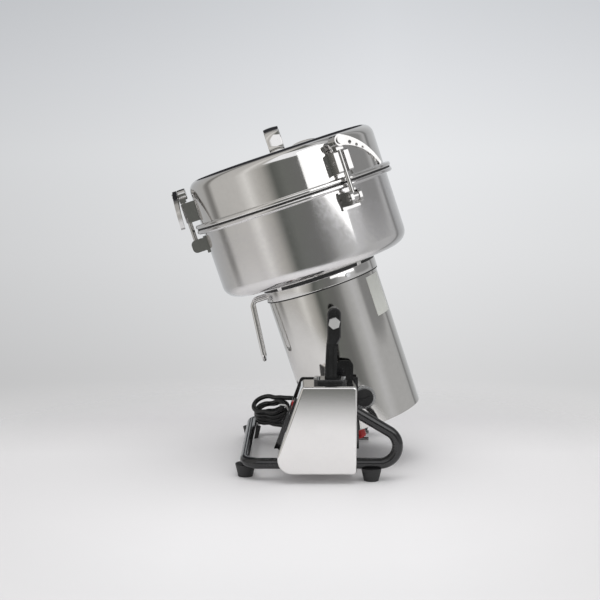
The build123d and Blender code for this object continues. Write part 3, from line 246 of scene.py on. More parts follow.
def smudge_group():
    """Cloudy handling marks: two layers of noise, multiplied, spread between Low and High."""
    sockets = [("Vector", "NodeSocketVector", None), ("Scale", "NodeSocketFloat", 40.0),
               ("Low", "NodeSocketFloat", 0.05), ("High", "NodeSocketFloat", 0.2)]
    results = [("Value", "NodeSocketFloat"), ("Mask", "NodeSocketFloat")]
    group, start, end = new_group("Smudges", sockets, results)
    broad = add_node(group, "ShaderNodeTexNoise", {"Detail": 3.0, "Roughness": 0.6})
    fine = add_node(group, "ShaderNodeTexNoise", {"Detail": 6.0, "Roughness": 0.7})
    finer = add_node(group, "ShaderNodeMath", {1: 7.0}, operation="MULTIPLY")
    both = add_node(group, "ShaderNodeMath", operation="MULTIPLY")
    mask = add_node(group, "ShaderNodeMapRange", {"From Min": 0.12, "From Max": 0.42})
    spread = add_node(group, "ShaderNodeMapRange")
    link = group.links.new
    for noise in (broad, fine):
        link(start.outputs["Vector"], noise.inputs["Vector"])
    link(start.outputs["Scale"], broad.inputs["Scale"])
    link(start.outputs["Scale"], finer.inputs[0])
    link(finer.outputs[0], fine.inputs["Scale"])
    link(broad.outputs["Fac"], both.inputs[0])
    link(fine.outputs["Fac"], both.inputs[1])
    link(both.outputs[0], mask.inputs["Value"])
    link(mask.outputs[0], spread.inputs["Value"])
    link(start.outputs["Low"], spread.inputs["To Min"])
    link(start.outputs["High"], spread.inputs["To Max"])
    link(spread.outputs[0], end.inputs["Value"])
    link(mask.outputs[0], end.inputs["Mask"])
    return group


def drawn_group():
    """Fine lines of a polishing belt: noise stretched by Stretch, so that it runs as streaks."""
    sockets = [("Vector", "NodeSocketVector", None), ("Stretch", "NodeSocketVector", (30.0, 30.0, 4000.0))]
    group, start, end = new_group("Drawn lines", sockets, [("Height", "NodeSocketFloat")])
    stretch = add_node(group, "ShaderNodeVectorMath", operation="MULTIPLY")
    noise = add_node(group, "ShaderNodeTexNoise", {"Scale": 1.0, "Detail": 4.0, "Roughness": 0.65})
    link = group.links.new
    link(start.outputs["Vector"], stretch.inputs[0])
    link(start.outputs["Stretch"], stretch.inputs[1])
    link(stretch.outputs[0], noise.inputs["Vector"])
    link(noise.outputs["Fac"], end.inputs["Height"])
    return group


def speckle_group():
    """Grain of a cast or moulded skin: small even noise."""
    sockets = [("Vector", "NodeSocketVector", None), ("Scale", "NodeSocketFloat", 900.0)]
    group, start, end = new_group("Speckle", sockets, [("Height", "NodeSocketFloat")])
    grain = add_node(group, "ShaderNodeTexNoise", {"Detail": 5.0, "Roughness": 0.6})
    link = group.links.new
    link(start.outputs["Vector"], grain.inputs["Vector"])
    link(start.outputs["Scale"], grain.inputs["Scale"])
    link(grain.outputs["Fac"], end.inputs["Height"])
    return group


GROUPS = {}
SHADES = {}


def effect(name):
    """A node group, made once and then shared."""
    makers = {"smudge": smudge_group, "drawn": drawn_group, "speckle": speckle_group}
    if name not in GROUPS:
        GROUPS[name] = makers[name]()
    return GROUPS[name]


def finish(name, colour, stain, rough, marks, depth, speckle=None, lines=None, metallic=1.0,
           tilted=False, coat=0.0):
    """A surface whose colour turns toward the stain, and whose roughness goes from low to high, where it is
    smudged at the scale of its marks. Its relief is drawn lines of a stretch or a speckle of a scale."""
    if name in SHADES:
        return SHADES[name]
    material = bpy.data.materials.new(name)
    material.use_nodes = True
    tree = material.node_tree
    link = tree.links.new
    shader = tree.nodes["Principled BSDF"]
    shader.inputs["Metallic"].default_value = metallic
    shader.inputs["Coat Weight"].default_value = coat
    shader.inputs["Coat Roughness"].default_value = 0.05
    place = add_node(tree, "ShaderNodeTexCoord")
    own = add_node(tree, "ShaderNodeMapping", vector_type="TEXTURE")
    if tilted:
        own.inputs["Location"].default_value = PIVOT
        own.inputs["Rotation"].default_value = (0.0, -LEAN, 0.0)
    link(place.outputs["Object"], own.inputs["Vector"])
    low, high = rough
    smudge = add_node(tree, "ShaderNodeGroup", node_tree=effect("smudge"))
    smudge.inputs["Scale"].default_value = marks
    smudge.inputs["Low"].default_value = low
    smudge.inputs["High"].default_value = high
    link(own.outputs["Vector"], smudge.inputs["Vector"])
    tint = add_node(tree, "ShaderNodeMix", data_type="RGBA")
    tint.inputs[6].default_value = (*colour, 1.0)
    tint.inputs[7].default_value = (*stain, 1.0)
    link(smudge.outputs["Mask"], tint.inputs[0])
    link(tint.outputs[2], shader.inputs["Base Color"])
    link(smudge.outputs["Value"], shader.inputs["Roughness"])
    if lines:
        grain = add_node(tree, "ShaderNodeGroup", node_tree=effect("drawn"))
        grain.inputs["Stretch"].default_value = lines
    else:
        grain = add_node(tree, "ShaderNodeGroup", node_tree=effect("speckle"))
        grain.inputs["Scale"].default_value = speckle
    link(own.outputs["Vector"], grain.inputs["Vector"])
    bump = add_node(tree, "ShaderNodeBump", {"Strength": depth, "Distance": 0.0005})
    link(grain.outputs["Height"], bump.inputs["Height"])
    link(bump.outputs["Normal"], shader.inputs["Normal"])
    SHADES[name] = material
    return material


def toned(colour, factor):
    """A colour made lighter or darker, by one factor or by one for each part of it."""
    return tuple(np.multiply(tuple(colour), factor))


def polished_steel():
    steel = bpy.context.scene.grinder_looks.steel
    return finish("Polished steel", steel, toned(steel, 0.94), rough=(0.035, 0.11), marks=22.0, depth=0.012,
                  lines=(25.0, 25.0, 1800.0), tilted=True)


def handled_steel():
    steel = bpy.context.scene.grinder_looks.steel
    return finish("Handled steel", steel, toned(steel, (0.93, 0.93, 0.96)), rough=(0.05, 0.2), marks=26.0,
                  depth=0.014, lines=(25.0, 25.0, 1800.0), tilted=True)


def latch_steel():
    steel = bpy.context.scene.grinder_looks.steel
    # Painted shade: a darker copy of the steel, so that the card lamp's reflection on the latches is less
    # bright.
    return finish("Latch steel", toned(steel, 0.8), toned(steel, 0.66), rough=(0.06, 0.14), marks=80.0,
                  depth=0.12, speckle=500.0)


def box_steel():
    steel = bpy.context.scene.grinder_looks.steel
    # Painted light: a lighter copy of the steel, so that the side covers show brighter.
    return finish("Box steel", toned(steel, 1.09), toned(steel, 1.05), rough=(0.03, 0.07), marks=22.0,
                  depth=0.01, lines=(25.0, 25.0, 1800.0))


def bolt_zinc():
    """Bright zinc on the tilt bolts' heads and black on their washers, told apart by the distance along the
    bolts."""
    material = finish("Bolt zinc", (0.92, 0.92, 0.92), (0.82, 0.82, 0.81), rough=(0.38, 0.5), marks=120.0,
                      depth=0.06, speckle=1500.0)
    tree = material.node_tree
    link = tree.links.new
    shader = tree.nodes["Principled BSDF"]
    zinc = shader.inputs["Base Color"].links[0].from_socket
    place = add_node(tree, "ShaderNodeTexCoord")
    parts = add_node(tree, "ShaderNodeSeparateXYZ")
    link(place.outputs["Object"], parts.inputs["Vector"])
    along = add_node(tree, "ShaderNodeMath", {1: PIVOT[1]}, operation="SUBTRACT")
    link(parts.outputs["Y"], along.inputs[0])
    out = add_node(tree, "ShaderNodeMath", operation="ABSOLUTE")
    link(along.outputs[0], out.inputs[0])
    head = add_node(tree, "ShaderNodeMath", {1: WASHER_FACE + 0.1 * MM}, operation="GREATER_THAN")
    link(out.outputs[0], head.inputs[0])
    colour = add_node(tree, "ShaderNodeMix", data_type="RGBA")
    colour.inputs[6].default_value = (0.008, 0.008, 0.009, 1.0)
    link(zinc, colour.inputs[7])
    link(head.outputs[0], colour.inputs[0])
    link(colour.outputs[2], shader.inputs["Base Color"])
    link(head.outputs[0], shader.inputs["Metallic"])
    return material


def brushed_casing():
    casing = bpy.context.scene.grinder_looks.casing
    return finish("Brushed casing", casing, toned(casing, 0.93), rough=(0.06, 0.12), marks=18.0, depth=0.03,
                  lines=(30.0, 30.0, 2600.0), tilted=True)


def plain_steel():
    return finish("Plain steel", (0.62, 0.63, 0.64), (0.5, 0.5, 0.5), rough=(0.18, 0.34), marks=90.0,
                  depth=0.04, speckle=1500.0)


def cast_alloy():
    return finish("Cast alloy", (0.56, 0.57, 0.58), (0.46, 0.46, 0.46), rough=(0.34, 0.52), marks=70.0,
                  depth=0.25, speckle=600.0)


def black_paint():
    paint = bpy.context.scene.grinder_looks.paint
    return finish("Black gloss paint", paint, (0.02, 0.02, 0.021), rough=(0.08, 0.2), marks=60.0, depth=0.04,
                  speckle=350.0, metallic=0.0, coat=0.25)


def cast_paint():
    paint = bpy.context.scene.grinder_looks.paint
    return finish("Painted casting", paint, (0.022, 0.022, 0.023), rough=(0.12, 0.26), marks=80.0, depth=0.16,
                  speckle=700.0, metallic=0.0, coat=0.5)


def black_plastic():
    return finish("Black moulded plastic", (0.014, 0.014, 0.015), (0.022, 0.022, 0.022), rough=(0.3, 0.45),
                  marks=120.0, depth=0.1, speckle=2200.0, metallic=0.0)


def red_plastic():
    red = bpy.context.scene.grinder_looks.red
    return finish("Red plastic", red, toned(red, 0.8), rough=(0.18, 0.3), marks=150.0, depth=0.04,
                  speckle=2500.0, metallic=0.0)


def white_plastic():
    return finish("White tie plastic", (0.8, 0.81, 0.81), (0.72, 0.72, 0.71), rough=(0.3, 0.42), marks=200.0,
                  depth=0.05, speckle=2500.0, metallic=0.0)


def label_film():
    label = bpy.context.scene.grinder_looks.label
    return finish("Blank label film", label, toned(label, 0.93), rough=(0.36, 0.5), marks=120.0, depth=0.05,
                  speckle=3000.0, metallic=0.0)


def black_rubber():
    return finish("Black rubber", (0.016, 0.016, 0.017), (0.03, 0.03, 0.03), rough=(0.5, 0.7), marks=110.0,
                  depth=0.14, speckle=1800.0, metallic=0.0)


def cord_sheath():
    return finish("Cord sheath", (0.012, 0.012, 0.013), (0.02, 0.02, 0.02), rough=(0.28, 0.42), marks=130.0,
                  depth=0.08, speckle=1500.0, metallic=0.0)


def seal_rubber():
    return finish("Pale seal rubber", (0.7, 0.7, 0.68), (0.6, 0.6, 0.58), rough=(0.45, 0.6), marks=150.0,
                  depth=0.1, speckle=2000.0, metallic=0.0)


def copper_wire():
    return finish("Enamelled copper", (0.5, 0.2, 0.08), (0.36, 0.13, 0.05), rough=(0.25, 0.4), marks=150.0,
                  depth=0.4, lines=(60.0, 60.0, 1200.0), tilted=True)


def core_steel():
    return finish("Core laminations", (0.22, 0.22, 0.23), (0.16, 0.15, 0.14), rough=(0.35, 0.55), marks=90.0,
                  depth=0.3, lines=(20.0, 20.0, 3000.0), tilted=True)


def carbon():
    return finish("Brush carbon", (0.03, 0.03, 0.032), (0.05, 0.05, 0.05), rough=(0.5, 0.7), marks=200.0,
                  depth=0.2, speckle=2500.0, metallic=0.0)


def nickel():
    return finish("Pin nickel", (0.42, 0.41, 0.4), (0.32, 0.31, 0.3), rough=(0.2, 0.36), marks=200.0,
                  depth=0.03, speckle=2500.0)


# Settings that a user may change


class GrinderSizes(bpy.types.PropertyGroup):
    cord_diameter: bpy.props.FloatProperty(
        name="Cord diameter", description="Thickness of the mains cord",
        default=0.0065, min=0.003, max=0.012, unit="LENGTH")
    cord_length: bpy.props.FloatProperty(
        name="Cord length", description="Length of the mains cord from the gland to the plug",
        default=0.75, min=0.3, max=3.0, unit="LENGTH")
    floor_radius: bpy.props.FloatProperty(
        name="Floor radius", description="How far the pale floor reaches",
        default=0.72, min=0.4, max=3.0, unit="LENGTH")
    camera_distance: bpy.props.FloatProperty(
        name="Camera distance", description="From the camera to the middle of the stand",
        default=1.468, min=0.5, max=5.0, unit="LENGTH")
    camera_height: bpy.props.FloatProperty(
        name="Camera height", description="Height of the camera over the floor",
        default=0.382, min=0.0, max=2.0, unit="LENGTH")


class GrinderLooks(bpy.types.PropertyGroup):
    steel: bpy.props.FloatVectorProperty(
        name="Polished steel", description="Colour of the bowl, the lid and the boxes",
        default=(0.78, 0.77, 0.76), size=3, min=0.0, max=1.0, subtype="COLOR")
    casing: bpy.props.FloatVectorProperty(
        name="Casing steel", description="Colour of the motor casing",
        default=(0.72, 0.71, 0.69), size=3, min=0.0, max=1.0, subtype="COLOR")
    paint: bpy.props.FloatVectorProperty(
        name="Black paint", description="Colour of the tube, plates and posts",
        default=(0.008, 0.008, 0.009), size=3, min=0.0, max=1.0, subtype="COLOR")
    red: bpy.props.FloatVectorProperty(
        name="Red plastic", description="Colour of the rocker and the reset button",
        default=(0.55, 0.02, 0.02), size=3, min=0.0, max=1.0, subtype="COLOR")
    label: bpy.props.FloatVectorProperty(
        name="Label", description="Colour of the blank label",
        default=(0.74, 0.75, 0.7), size=3, min=0.0, max=1.0, subtype="COLOR")


# Mains cord


def in_hank(points):
    """Millimetres in the hank's own leaning frame, to stand millimetres: its middle, less x along the slope,
    and y and z along the other two axes."""
    turn, lean = np.radians(28), np.radians(30)
    across = np.array([np.cos(turn), -np.sin(turn), 0.0])
    slope = np.array([np.sin(turn) * np.cos(lean), np.cos(turn) * np.cos(lean), np.sin(lean)])
    middle = np.array([-83.0, 76.0, 45.0])
    p = np.asarray(points, float)
    return middle - p[..., :1] * slope + p[..., 1:2] * across + p[..., 2:] * np.cross(across, slope)


def hank_route():
    """The hank's middle line in its own frame, from its top end: half circles and runs drawn in at the waist.

    Each half circle has radius half the distance between the runs that it joins, and a run is a straight line
    whose middle moves in by the waist. A run's level goes from its first layer to its last.
    """
    offsets = (15.1, 11.5, 15.1, 18.7, 15.1, 11.5, 15.1)
    layers = ((3, 3), (3, 2), (2, 2), (2, 1), (1, 1), (1, 0), (0, 0))
    layer, half, waist, tail = 7.0, 8.0, 2.0, 19.2
    top = 1.5 * layer
    angle = np.linspace(0, np.pi, 13)[:-1]
    part = np.array([0.0, 0.25, 0.5, 0.75])
    place = np.array([-tail, -half, top])
    route = [np.array([[-tail, half, top], [waist - tail, 0.0, top]])]
    side = 1
    for offset, (first, last) in zip(offsets, layers):
        low, high = layer * first - top, layer * last - top
        begin = np.array([side * offset, -side * half, low])
        radius = abs(begin[0] - place[0]) / 2
        x = (place[0] + begin[0]) / 2 - side * radius * np.cos(angle)
        y = begin[1] - side * radius * np.sin(angle)
        route.append(np.stack([x, y, np.full_like(x, low)], -1))
        inward = begin[0] - side * waist * np.array([0.0, 0.55, 1.0, 0.55])
        route.append(np.stack([inward, begin[1] + side * 2 * half * part, low + (high - low) * part], -1))
        place = np.array([begin[0], -begin[1], high])
        side = -side
    route.append(place[None])
    return np.concatenate(route)


def cord_route():
    """Control points of the whole cord: from the gland, under the motor, up through the hank, to the plug.

    The tail turns level to the right on part of a circle, then down and level again on two such arcs.
    """
    lead = np.array([[-54, -82, 41], [-54, -48, 41], [-28, -8, 20], [-47.38, 48.2, 28.36],
                     [-73.87, 62.28, 28.36]])
    hank = in_hank(hank_route()[::-1])
    bend, tail_level, tail_y, floor_level = 26.0, 63.69, 77.37, 9.0
    turn = np.radians(np.linspace(-118, -90, 4))
    level = np.stack([-54.86 + bend * np.cos(turn), tail_y + bend * (1 + np.sin(turn)),
                      np.full_like(turn, tail_level)], -1)
    dip = np.radians(np.linspace(0, 92.96, 8))
    arc = bend * np.stack([np.sin(dip), 0 * dip, np.cos(dip) - 1], -1)
    down = level[-1] + arc
    up = np.array([-2.93, tail_y, floor_level]) - arc
    tip = np.array([[3.57, tail_y, floor_level]])
    return on_stand(np.concatenate([lead, hank, level[:-1], down[:-1], up[::-1], tip]))


def tie_band():
    """The tie: a flat band, with its section's edges broken, carried round a loop in y and z with round
    corners at the hank's near end."""
    centre, reach, corner = np.array([23.1, 3.5]), np.array([6.25, 11.45]), 3.5
    turn = np.linspace(0, 2 * np.pi, 48, endpoint=False)
    swing = np.stack([np.cos(turn), np.sin(turn)], -1)
    middle = centre + np.sign(swing) * (reach - corner)
    section = np.array([(0.0, -1.2), (0.0, 1.2), (-0.25, 1.5), (-0.55, 1.5),
                        (-0.8, 1.2), (-0.8, -1.2), (-0.55, -1.5), (-0.25, -1.5)])
    loop = middle[:, None] + swing[:, None] * (corner + section[None, :, :1])
    across = np.broadcast_to(section[None, :, 1], loop.shape[:2])
    points = np.stack([across, loop[..., 0], loop[..., 1]], -1)
    return on_stand(in_hank(points)), grid_faces(len(turn), len(section), True, True)


class GRINDER_OT_cord(bpy.types.Operator):
    """Lays the mains cord through its hank and dresses its gland and plug"""
    bl_idname = "grinder.cord"
    bl_label = "Mains cord"

    def execute(self, context):
        sizes = context.scene.grinder_sizes
        points = cord_route()
        curve = bpy.data.curves.new("mains_cord", "CURVE")
        curve.dimensions = "3D"
        spline = curve.splines.new("NURBS")
        spline.points.add(len(points) - 1)
        spline.points.foreach_set("co", np.c_[points, np.ones(len(points))].ravel())
        spline.order_u = 3
        spline.use_endpoint_u = True
        spline.resolution_u = 6
        curve.bevel_depth = sizes.cord_diameter / 2
        curve.bevel_resolution = 5
        curve.materials.append(cord_sheath())
        cord = bpy.data.objects.new("mains_cord", curve)
        context.scene.collection.objects.link(cord)
        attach(cord, "stand")
        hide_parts("cord_lead", "cord_hank")
        tie = add_piece("tie_band", *tie_band(), white_plastic(), "stand", "white_tie", ["cord_tie"])
        dress(["cord_gland"], black_rubber())
        dress(["plug_body"], black_plastic())
        dress(["plug_pins"], nickel())
        return {"FINISHED"}


class GRINDER_OT_bowl(bpy.types.Operator):
    """Dresses the bowl, the lid, their seals and the blades"""
    bl_idname = "grinder.bowl"
    bl_label = "Bowl and lid"

    def execute(self, context):
        inside, floor = BOWL_RADIUS - BOWL_WALL, BOWL_BOTTOM + BOWL_WALL
        bowl = [(BOWL_HOLE, floor, 0.2), (inside, floor, 15.5), (inside, 159.2, 0.3),
                (RIM_RADIUS, 159.2, 2.2), (RIM_RADIUS, 153.7, 2.2), (BOWL_RADIUS, 153.7, 0.8),
                (BOWL_RADIUS, BOWL_BOTTOM, 17.0), (BOWL_HOLE, BOWL_BOTTOM, 0.2)]
        bore, ceiling = BOWL_RADIUS - LID_WALL, LID_TOP - LID_WALL
        lid = [(0.0, LID_TOP, 0.0), (BOWL_RADIUS, LID_TOP, 14.0), (BOWL_RADIUS, 166.3, 0.8),
               (RIM_RADIUS, 166.3, 2.2), (RIM_RADIUS, 160.8, 2.2), (bore, 160.8, 0.2), (bore, 163.6, 0.1),
               (125.7, 163.6, 0.1), (125.7, 152.0, 0.4), (124.5, 152.0, 0.4), (124.5, 164.8, 0.1),
               (bore, 164.8, 0.1), (bore, ceiling, 12.8), (0.0, ceiling, 0.0)]
        steel = polished_steel()
        add_piece("bowl_wall", *turned(bowl), handled_steel(), "grinder", "polished_steel", ["grinding_bowl"])
        add_piece("lid_wall", *turned(lid), steel, "lid", "polished_steel", ["lid_shell"])
        seal = [(134.6, 160.75, 0.2), (134.6, 159.25, 0.2), (129.0, 159.25, 0.2), (129.0, 160.75, 0.2)]
        add_piece("rim_seal", *turned(seal), black_rubber(), "lid", "black_rubber")
        add_piece("handle_strap", *handle_strap(), steel, "lid", "polished_steel", ["lid_handle"])
        dress(["lower_blade", "upper_blade", "blade_spacer", "blade_nut", "bowl_screws"], plain_steel())
        dress(["lid_gasket"], seal_rubber())
        dress(["bowl_gasket", "shaft_seal"], black_rubber())
        return {"FINISHED"}


class GRINDER_OT_latches(bpy.types.Operator):
    """Dresses the latches round the lid"""
    bl_idname = "grinder.latches"
    bl_label = "Latches"

    def execute(self, context):
        nodes = ["latch_forks", "latch_clevises", "clevis_pins"]
        nodes += [f"latch_{kind}_{i}" for kind in ("bolt", "lever") for i in (1, 2, 3)]
        dress(nodes, latch_steel())
        return {"FINISHED"}


class GRINDER_OT_motor(bpy.types.Operator):
    """Dresses the motor: casing, band, bail, brushes and what turns inside"""
    bl_idname = "grinder.motor"
    bl_label = "Motor"

    def execute(self, context):
        casing = [(CASING_RADIUS, CASING_TOP, 0.4), (CASING_RADIUS, CASING_BOTTOM, 0.5),
                  (CASING_BORE, CASING_BOTTOM, 0.5), (CASING_BORE, CASING_TOP, 0.4)]
        wall = add_piece("casing_wall", *turned(casing), brushed_casing(), "grinder", "brushed_casing",
                         ["motor_casing"])
        shade(wall, ["card_lamp", "strip_lamp"])
        band = [(BAND_RADIUS, BAND_TOP, 1.2), (BAND_RADIUS, CASING_TOP, 1.2), (73.9, CASING_TOP, 0.2),
                (73.9, 31.0, 0.3), (68.0, 31.0, 0.3), (68.0, CASING_TOP, 0.2), (17.5, CASING_TOP, 0.2),
                (17.5, 50.0, 0.2), (9.0, 50.0, 0.2), (9.0, BAND_TOP, 0.2)]
        band_piece = joined(turned(band), band_lugs())
        add_piece("band_wall", *band_piece, polished_steel(), "grinder", "polished_steel",
                  ["motor_top_plate"])
        # Painted shade: a thin black ring under the band's lower edge, put in the shadow gap where the band
        # overhangs the casing.
        seal = [(77.6, 39.1, 0.2), (77.6, 37.7, 0.4), (CASING_RADIUS, 37.7, 0.2), (CASING_RADIUS, 39.1, 0.2)]
        add_piece("band_shadow_ring", *turned(seal), black_rubber(), "grinder", "black_rubber")
        dress(["tilt_bail", "trunnion_bosses"], polished_steel())
        dress(["band_screws", "brush_holders", "shaft_bearings", "motor_shaft"], plain_steel())
        dress(["pivot_bolts"], bolt_zinc())
        dress(["bearing_bracket"], cast_alloy())
        dress(["motor_base", "brush_caps", "cooling_fan"], black_plastic())
        dress(["reset_button"], red_plastic())
        dress(["field_coils", "armature_coils", "commutator"], copper_wire())
        dress(["stator_core", "armature_core"], core_steel())
        dress(["carbon_brushes"], carbon())
        dress(["blank_label"], label_film())
        return {"FINISHED"}


class GRINDER_OT_stand(bpy.types.Operator):
    """Dresses the stand: tube, plates, boxes, posts, feet and switch"""
    bl_idname = "grinder.stand"
    bl_label = "Stand"

    def execute(self, context):
        dress(["stand_tube", "side_plate_near", "side_plate_far"], black_paint())
        dress(["side_cover_near", "side_cover_far"], box_steel())
        dress(["pivot_post_near", "pivot_post_far"], cast_paint())
        dress(["post_screws", "foot_screws"], plain_steel())
        dress(["rubber_feet", "pivot_bushes"], black_rubber())
        dress(["switch_body"], black_plastic())
        dress(["switch_rocker"], red_plastic())
        return {"FINISHED"}


# Stage: floor, light and camera


def studio_world():
    """Light of a soft studio, by the heading about Z from the front and the height over the floor.

    What metal mirrors is a ring of walls whose tone turns with the heading, a dark flag to the right, a soft
    box over the camera and a dark arch high behind the set, a / sqrt(2 - 2 y) between two values for a
    direction's part a along the grinder's axis. The camera sees only the backdrop, with painted shade in it:
    a darker band a little below the horizon, darker toward the top, and dimmer toward the left. Matt surfaces
    are lit at one plain level.
    """
    world = bpy.data.worlds.new("Studio")
    world.use_nodes = True
    tree = world.node_tree
    tree.nodes.clear()
    link = tree.links.new
    place = add_node(tree, "ShaderNodeTexCoord")
    parts = add_node(tree, "ShaderNodeSeparateXYZ")
    link(place.outputs["Generated"], parts.inputs[0])
    front = add_node(tree, "ShaderNodeMath", {1: -1.0}, operation="MULTIPLY")
    link(parts.outputs["Y"], front.inputs[0])
    heading = add_node(tree, "ShaderNodeMath", operation="ARCTAN2")
    link(parts.outputs["X"], heading.inputs[0])
    link(front.outputs[0], heading.inputs[1])
    height = add_node(tree, "ShaderNodeMath", operation="ARCSINE")
    link(parts.outputs["Z"], height.inputs[0])

    def soft(source, low, high, falling=False):
        """A soft step between two values."""
        ends = {"To Min": 1.0, "To Max": 0.0} if falling else {}
        step = add_node(tree, "ShaderNodeMapRange", {"From Min": low, "From Max": high, **ends},
                        interpolation_type="SMOOTHSTEP")
        link(source.outputs[0], step.inputs["Value"])
        return step

    def edge(source, low, high, falling=False):
        """A soft step between two angles in degrees."""
        return soft(source, np.radians(low), np.radians(high), falling)

    def together(*steps):
        """The product of soft steps: a patch of the ring."""
        patch = steps[0]
        for step in steps[1:]:
            both = add_node(tree, "ShaderNodeMath", operation="MULTIPLY")
            link(patch.outputs[0], both.inputs[0])
            link(step.outputs[0], both.inputs[1])
            patch = both
        return patch

    def painted(under, patch, colour):
        """A patch in one colour over what is there."""
        mix = add_node(tree, "ShaderNodeMix", data_type="RGBA")
        mix.inputs[7].default_value = (*colour, 1.0)
        link(patch.outputs[0], mix.inputs[0])
        link(under, mix.inputs[6])
        return mix.outputs[2]

    around = add_node(tree, "ShaderNodeMapRange", {"From Min": -np.pi, "From Max": np.pi})
    link(heading.outputs[0], around.inputs["Value"])
    walls = add_node(tree, "ShaderNodeValToRGB")
    tones = [(-180, (0.66, 0.68, 0.7)), (-150, (0.46, 0.465, 0.47)), (-117, (0.44, 0.435, 0.425)),
             (-110, (0.24, 0.235, 0.225)), (-105, (0.22, 0.215, 0.205)), (-97, (0.54, 0.53, 0.51)),
             (-60, (0.58, 0.565, 0.545)), (-47, (0.8, 0.785, 0.76)), (-38, (0.58, 0.565, 0.54)),
             (-26, (0.41, 0.4, 0.375)), (-15, (0.115, 0.12, 0.11)), (-5, (0.165, 0.17, 0.158)),
             (16, (0.17, 0.17, 0.165)), (27, (0.24, 0.24, 0.235)), (36, (0.42, 0.42, 0.415)),
             (48, (0.53, 0.53, 0.53)), (56, (0.6, 0.6, 0.61)), (64, (0.57, 0.57, 0.575)),
             (74, (0.5, 0.5, 0.5)), (112, (0.5, 0.5, 0.5)), (124, (0.47, 0.472, 0.475)),
             (129, (0.2, 0.2, 0.2)), (135, (0.42, 0.425, 0.43)), (160, (0.58, 0.59, 0.6)),
             (180, (0.66, 0.68, 0.7))]
    set_ramp(walls.color_ramp, [((a + 180) / 360, c) for a, c in tones])
    link(around.outputs[0], walls.inputs[0])
    flag = together(edge(heading, 68, 78), edge(heading, 112, 124, True), edge(height, 8, 11))
    box = together(edge(heading, -34, -24), edge(heading, 40, 52, True),
                   edge(height, 16, 22), edge(height, 58, 64, True))
    axis = (-np.sin(LEAN), 0.0, np.cos(LEAN))
    along = add_node(tree, "ShaderNodeVectorMath", {1: axis}, operation="DOT_PRODUCT")
    link(place.outputs["Generated"], along.inputs[0])
    behind = add_node(tree, "ShaderNodeMath", {1: 2.0, 2: 2.0001}, operation="MULTIPLY_ADD")
    link(front.outputs[0], behind.inputs[0])
    root = add_node(tree, "ShaderNodeMath", operation="SQRT")
    link(behind.outputs[0], root.inputs[0])
    bow = add_node(tree, "ShaderNodeMath", operation="DIVIDE")
    link(along.outputs["Value"], bow.inputs[0])
    link(root.outputs[0], bow.inputs[1])
    arch = together(soft(bow, 0.74, 0.8), soft(bow, 0.95, 0.985, True))
    ring = painted(walls.outputs[0], flag, (0.28, 0.28, 0.28))
    ring = painted(ring, box, (1.05, 1.05, 1.07))
    ring = painted(ring, arch, (0.035, 0.035, 0.04))
    up = add_node(tree, "ShaderNodeMapRange", {"From Min": -np.pi / 2, "From Max": np.pi / 2})
    link(height.outputs[0], up.inputs["Value"])
    # The backdrop's tone by height is painted shade: a darker band a little below the horizon, and darker
    # toward the top.
    backdrop = add_node(tree, "ShaderNodeValToRGB")
    tones = [(-90, (0.84, 0.83, 0.84)), (-22, (0.83, 0.82, 0.825)), (-15, (0.78, 0.775, 0.78)),
             (-12, (0.69, 0.688, 0.69)), (-10.4, (0.64, 0.64, 0.645)), (-8, (0.677, 0.68, 0.687)),
             (-4, (0.735, 0.74, 0.75)), (1, (0.765, 0.775, 0.79)), (5, (0.7, 0.712, 0.735)),
             (9, (0.62, 0.635, 0.66))]
    set_ramp(backdrop.color_ramp, [((a + 90) / 180, c) for a, c in tones])
    link(up.outputs[0], backdrop.inputs[0])
    # Painted shade on the backdrop: dimmer toward the left, above the floor's far edge.
    across = add_node(tree, "ShaderNodeMapRange", {"From Min": -0.26, "From Max": 0.26})
    link(parts.outputs["X"], across.inputs["Value"])
    side = add_node(tree, "ShaderNodeValToRGB")
    levels = ((0.0, 0.86), (0.3, 0.95), (0.65, 1.06), (1.0, 0.98))
    set_ramp(side.color_ramp, [(a, (level, level, level)) for a, level in levels])
    link(across.outputs[0], side.inputs[0])
    dimmed = add_node(tree, "ShaderNodeMix", data_type="RGBA", blend_type="MULTIPLY")
    link(edge(height, -15, -10).outputs[0], dimmed.inputs[0])
    link(backdrop.outputs[0], dimmed.inputs[6])
    link(side.outputs[0], dimmed.inputs[7])
    ray = add_node(tree, "ShaderNodeLightPath")
    plain = add_node(tree, "ShaderNodeMix", data_type="RGBA")
    plain.inputs[6].default_value = (0.62, 0.62, 0.625, 1.0)
    link(ray.outputs["Is Glossy Ray"], plain.inputs[0])
    link(ring, plain.inputs[7])
    seen = add_node(tree, "ShaderNodeMix", data_type="RGBA")
    link(ray.outputs["Is Camera Ray"], seen.inputs[0])
    link(plain.outputs[2], seen.inputs[6])
    link(dimmed.outputs[2], seen.inputs[7])
    glow = add_node(tree, "ShaderNodeBackground")
    link(seen.outputs[2], glow.inputs["Color"])
    end = add_node(tree, "ShaderNodeOutputWorld")
    link(glow.outputs[0], end.inputs["Surface"])
    return world


def set_ramp(ramp, stops):
    """Puts stops on a colour ramp, each a place from 0 to 1 and a colour."""
    while len(ramp.elements) > 1:
        ramp.elements.remove(ramp.elements[-1])
    for i, (place, colour) in enumerate(stops):
        element = ramp.elements[0] if i == 0 else ramp.elements.new(place)
        element.position = place
        element.color = (*colour, 1.0)


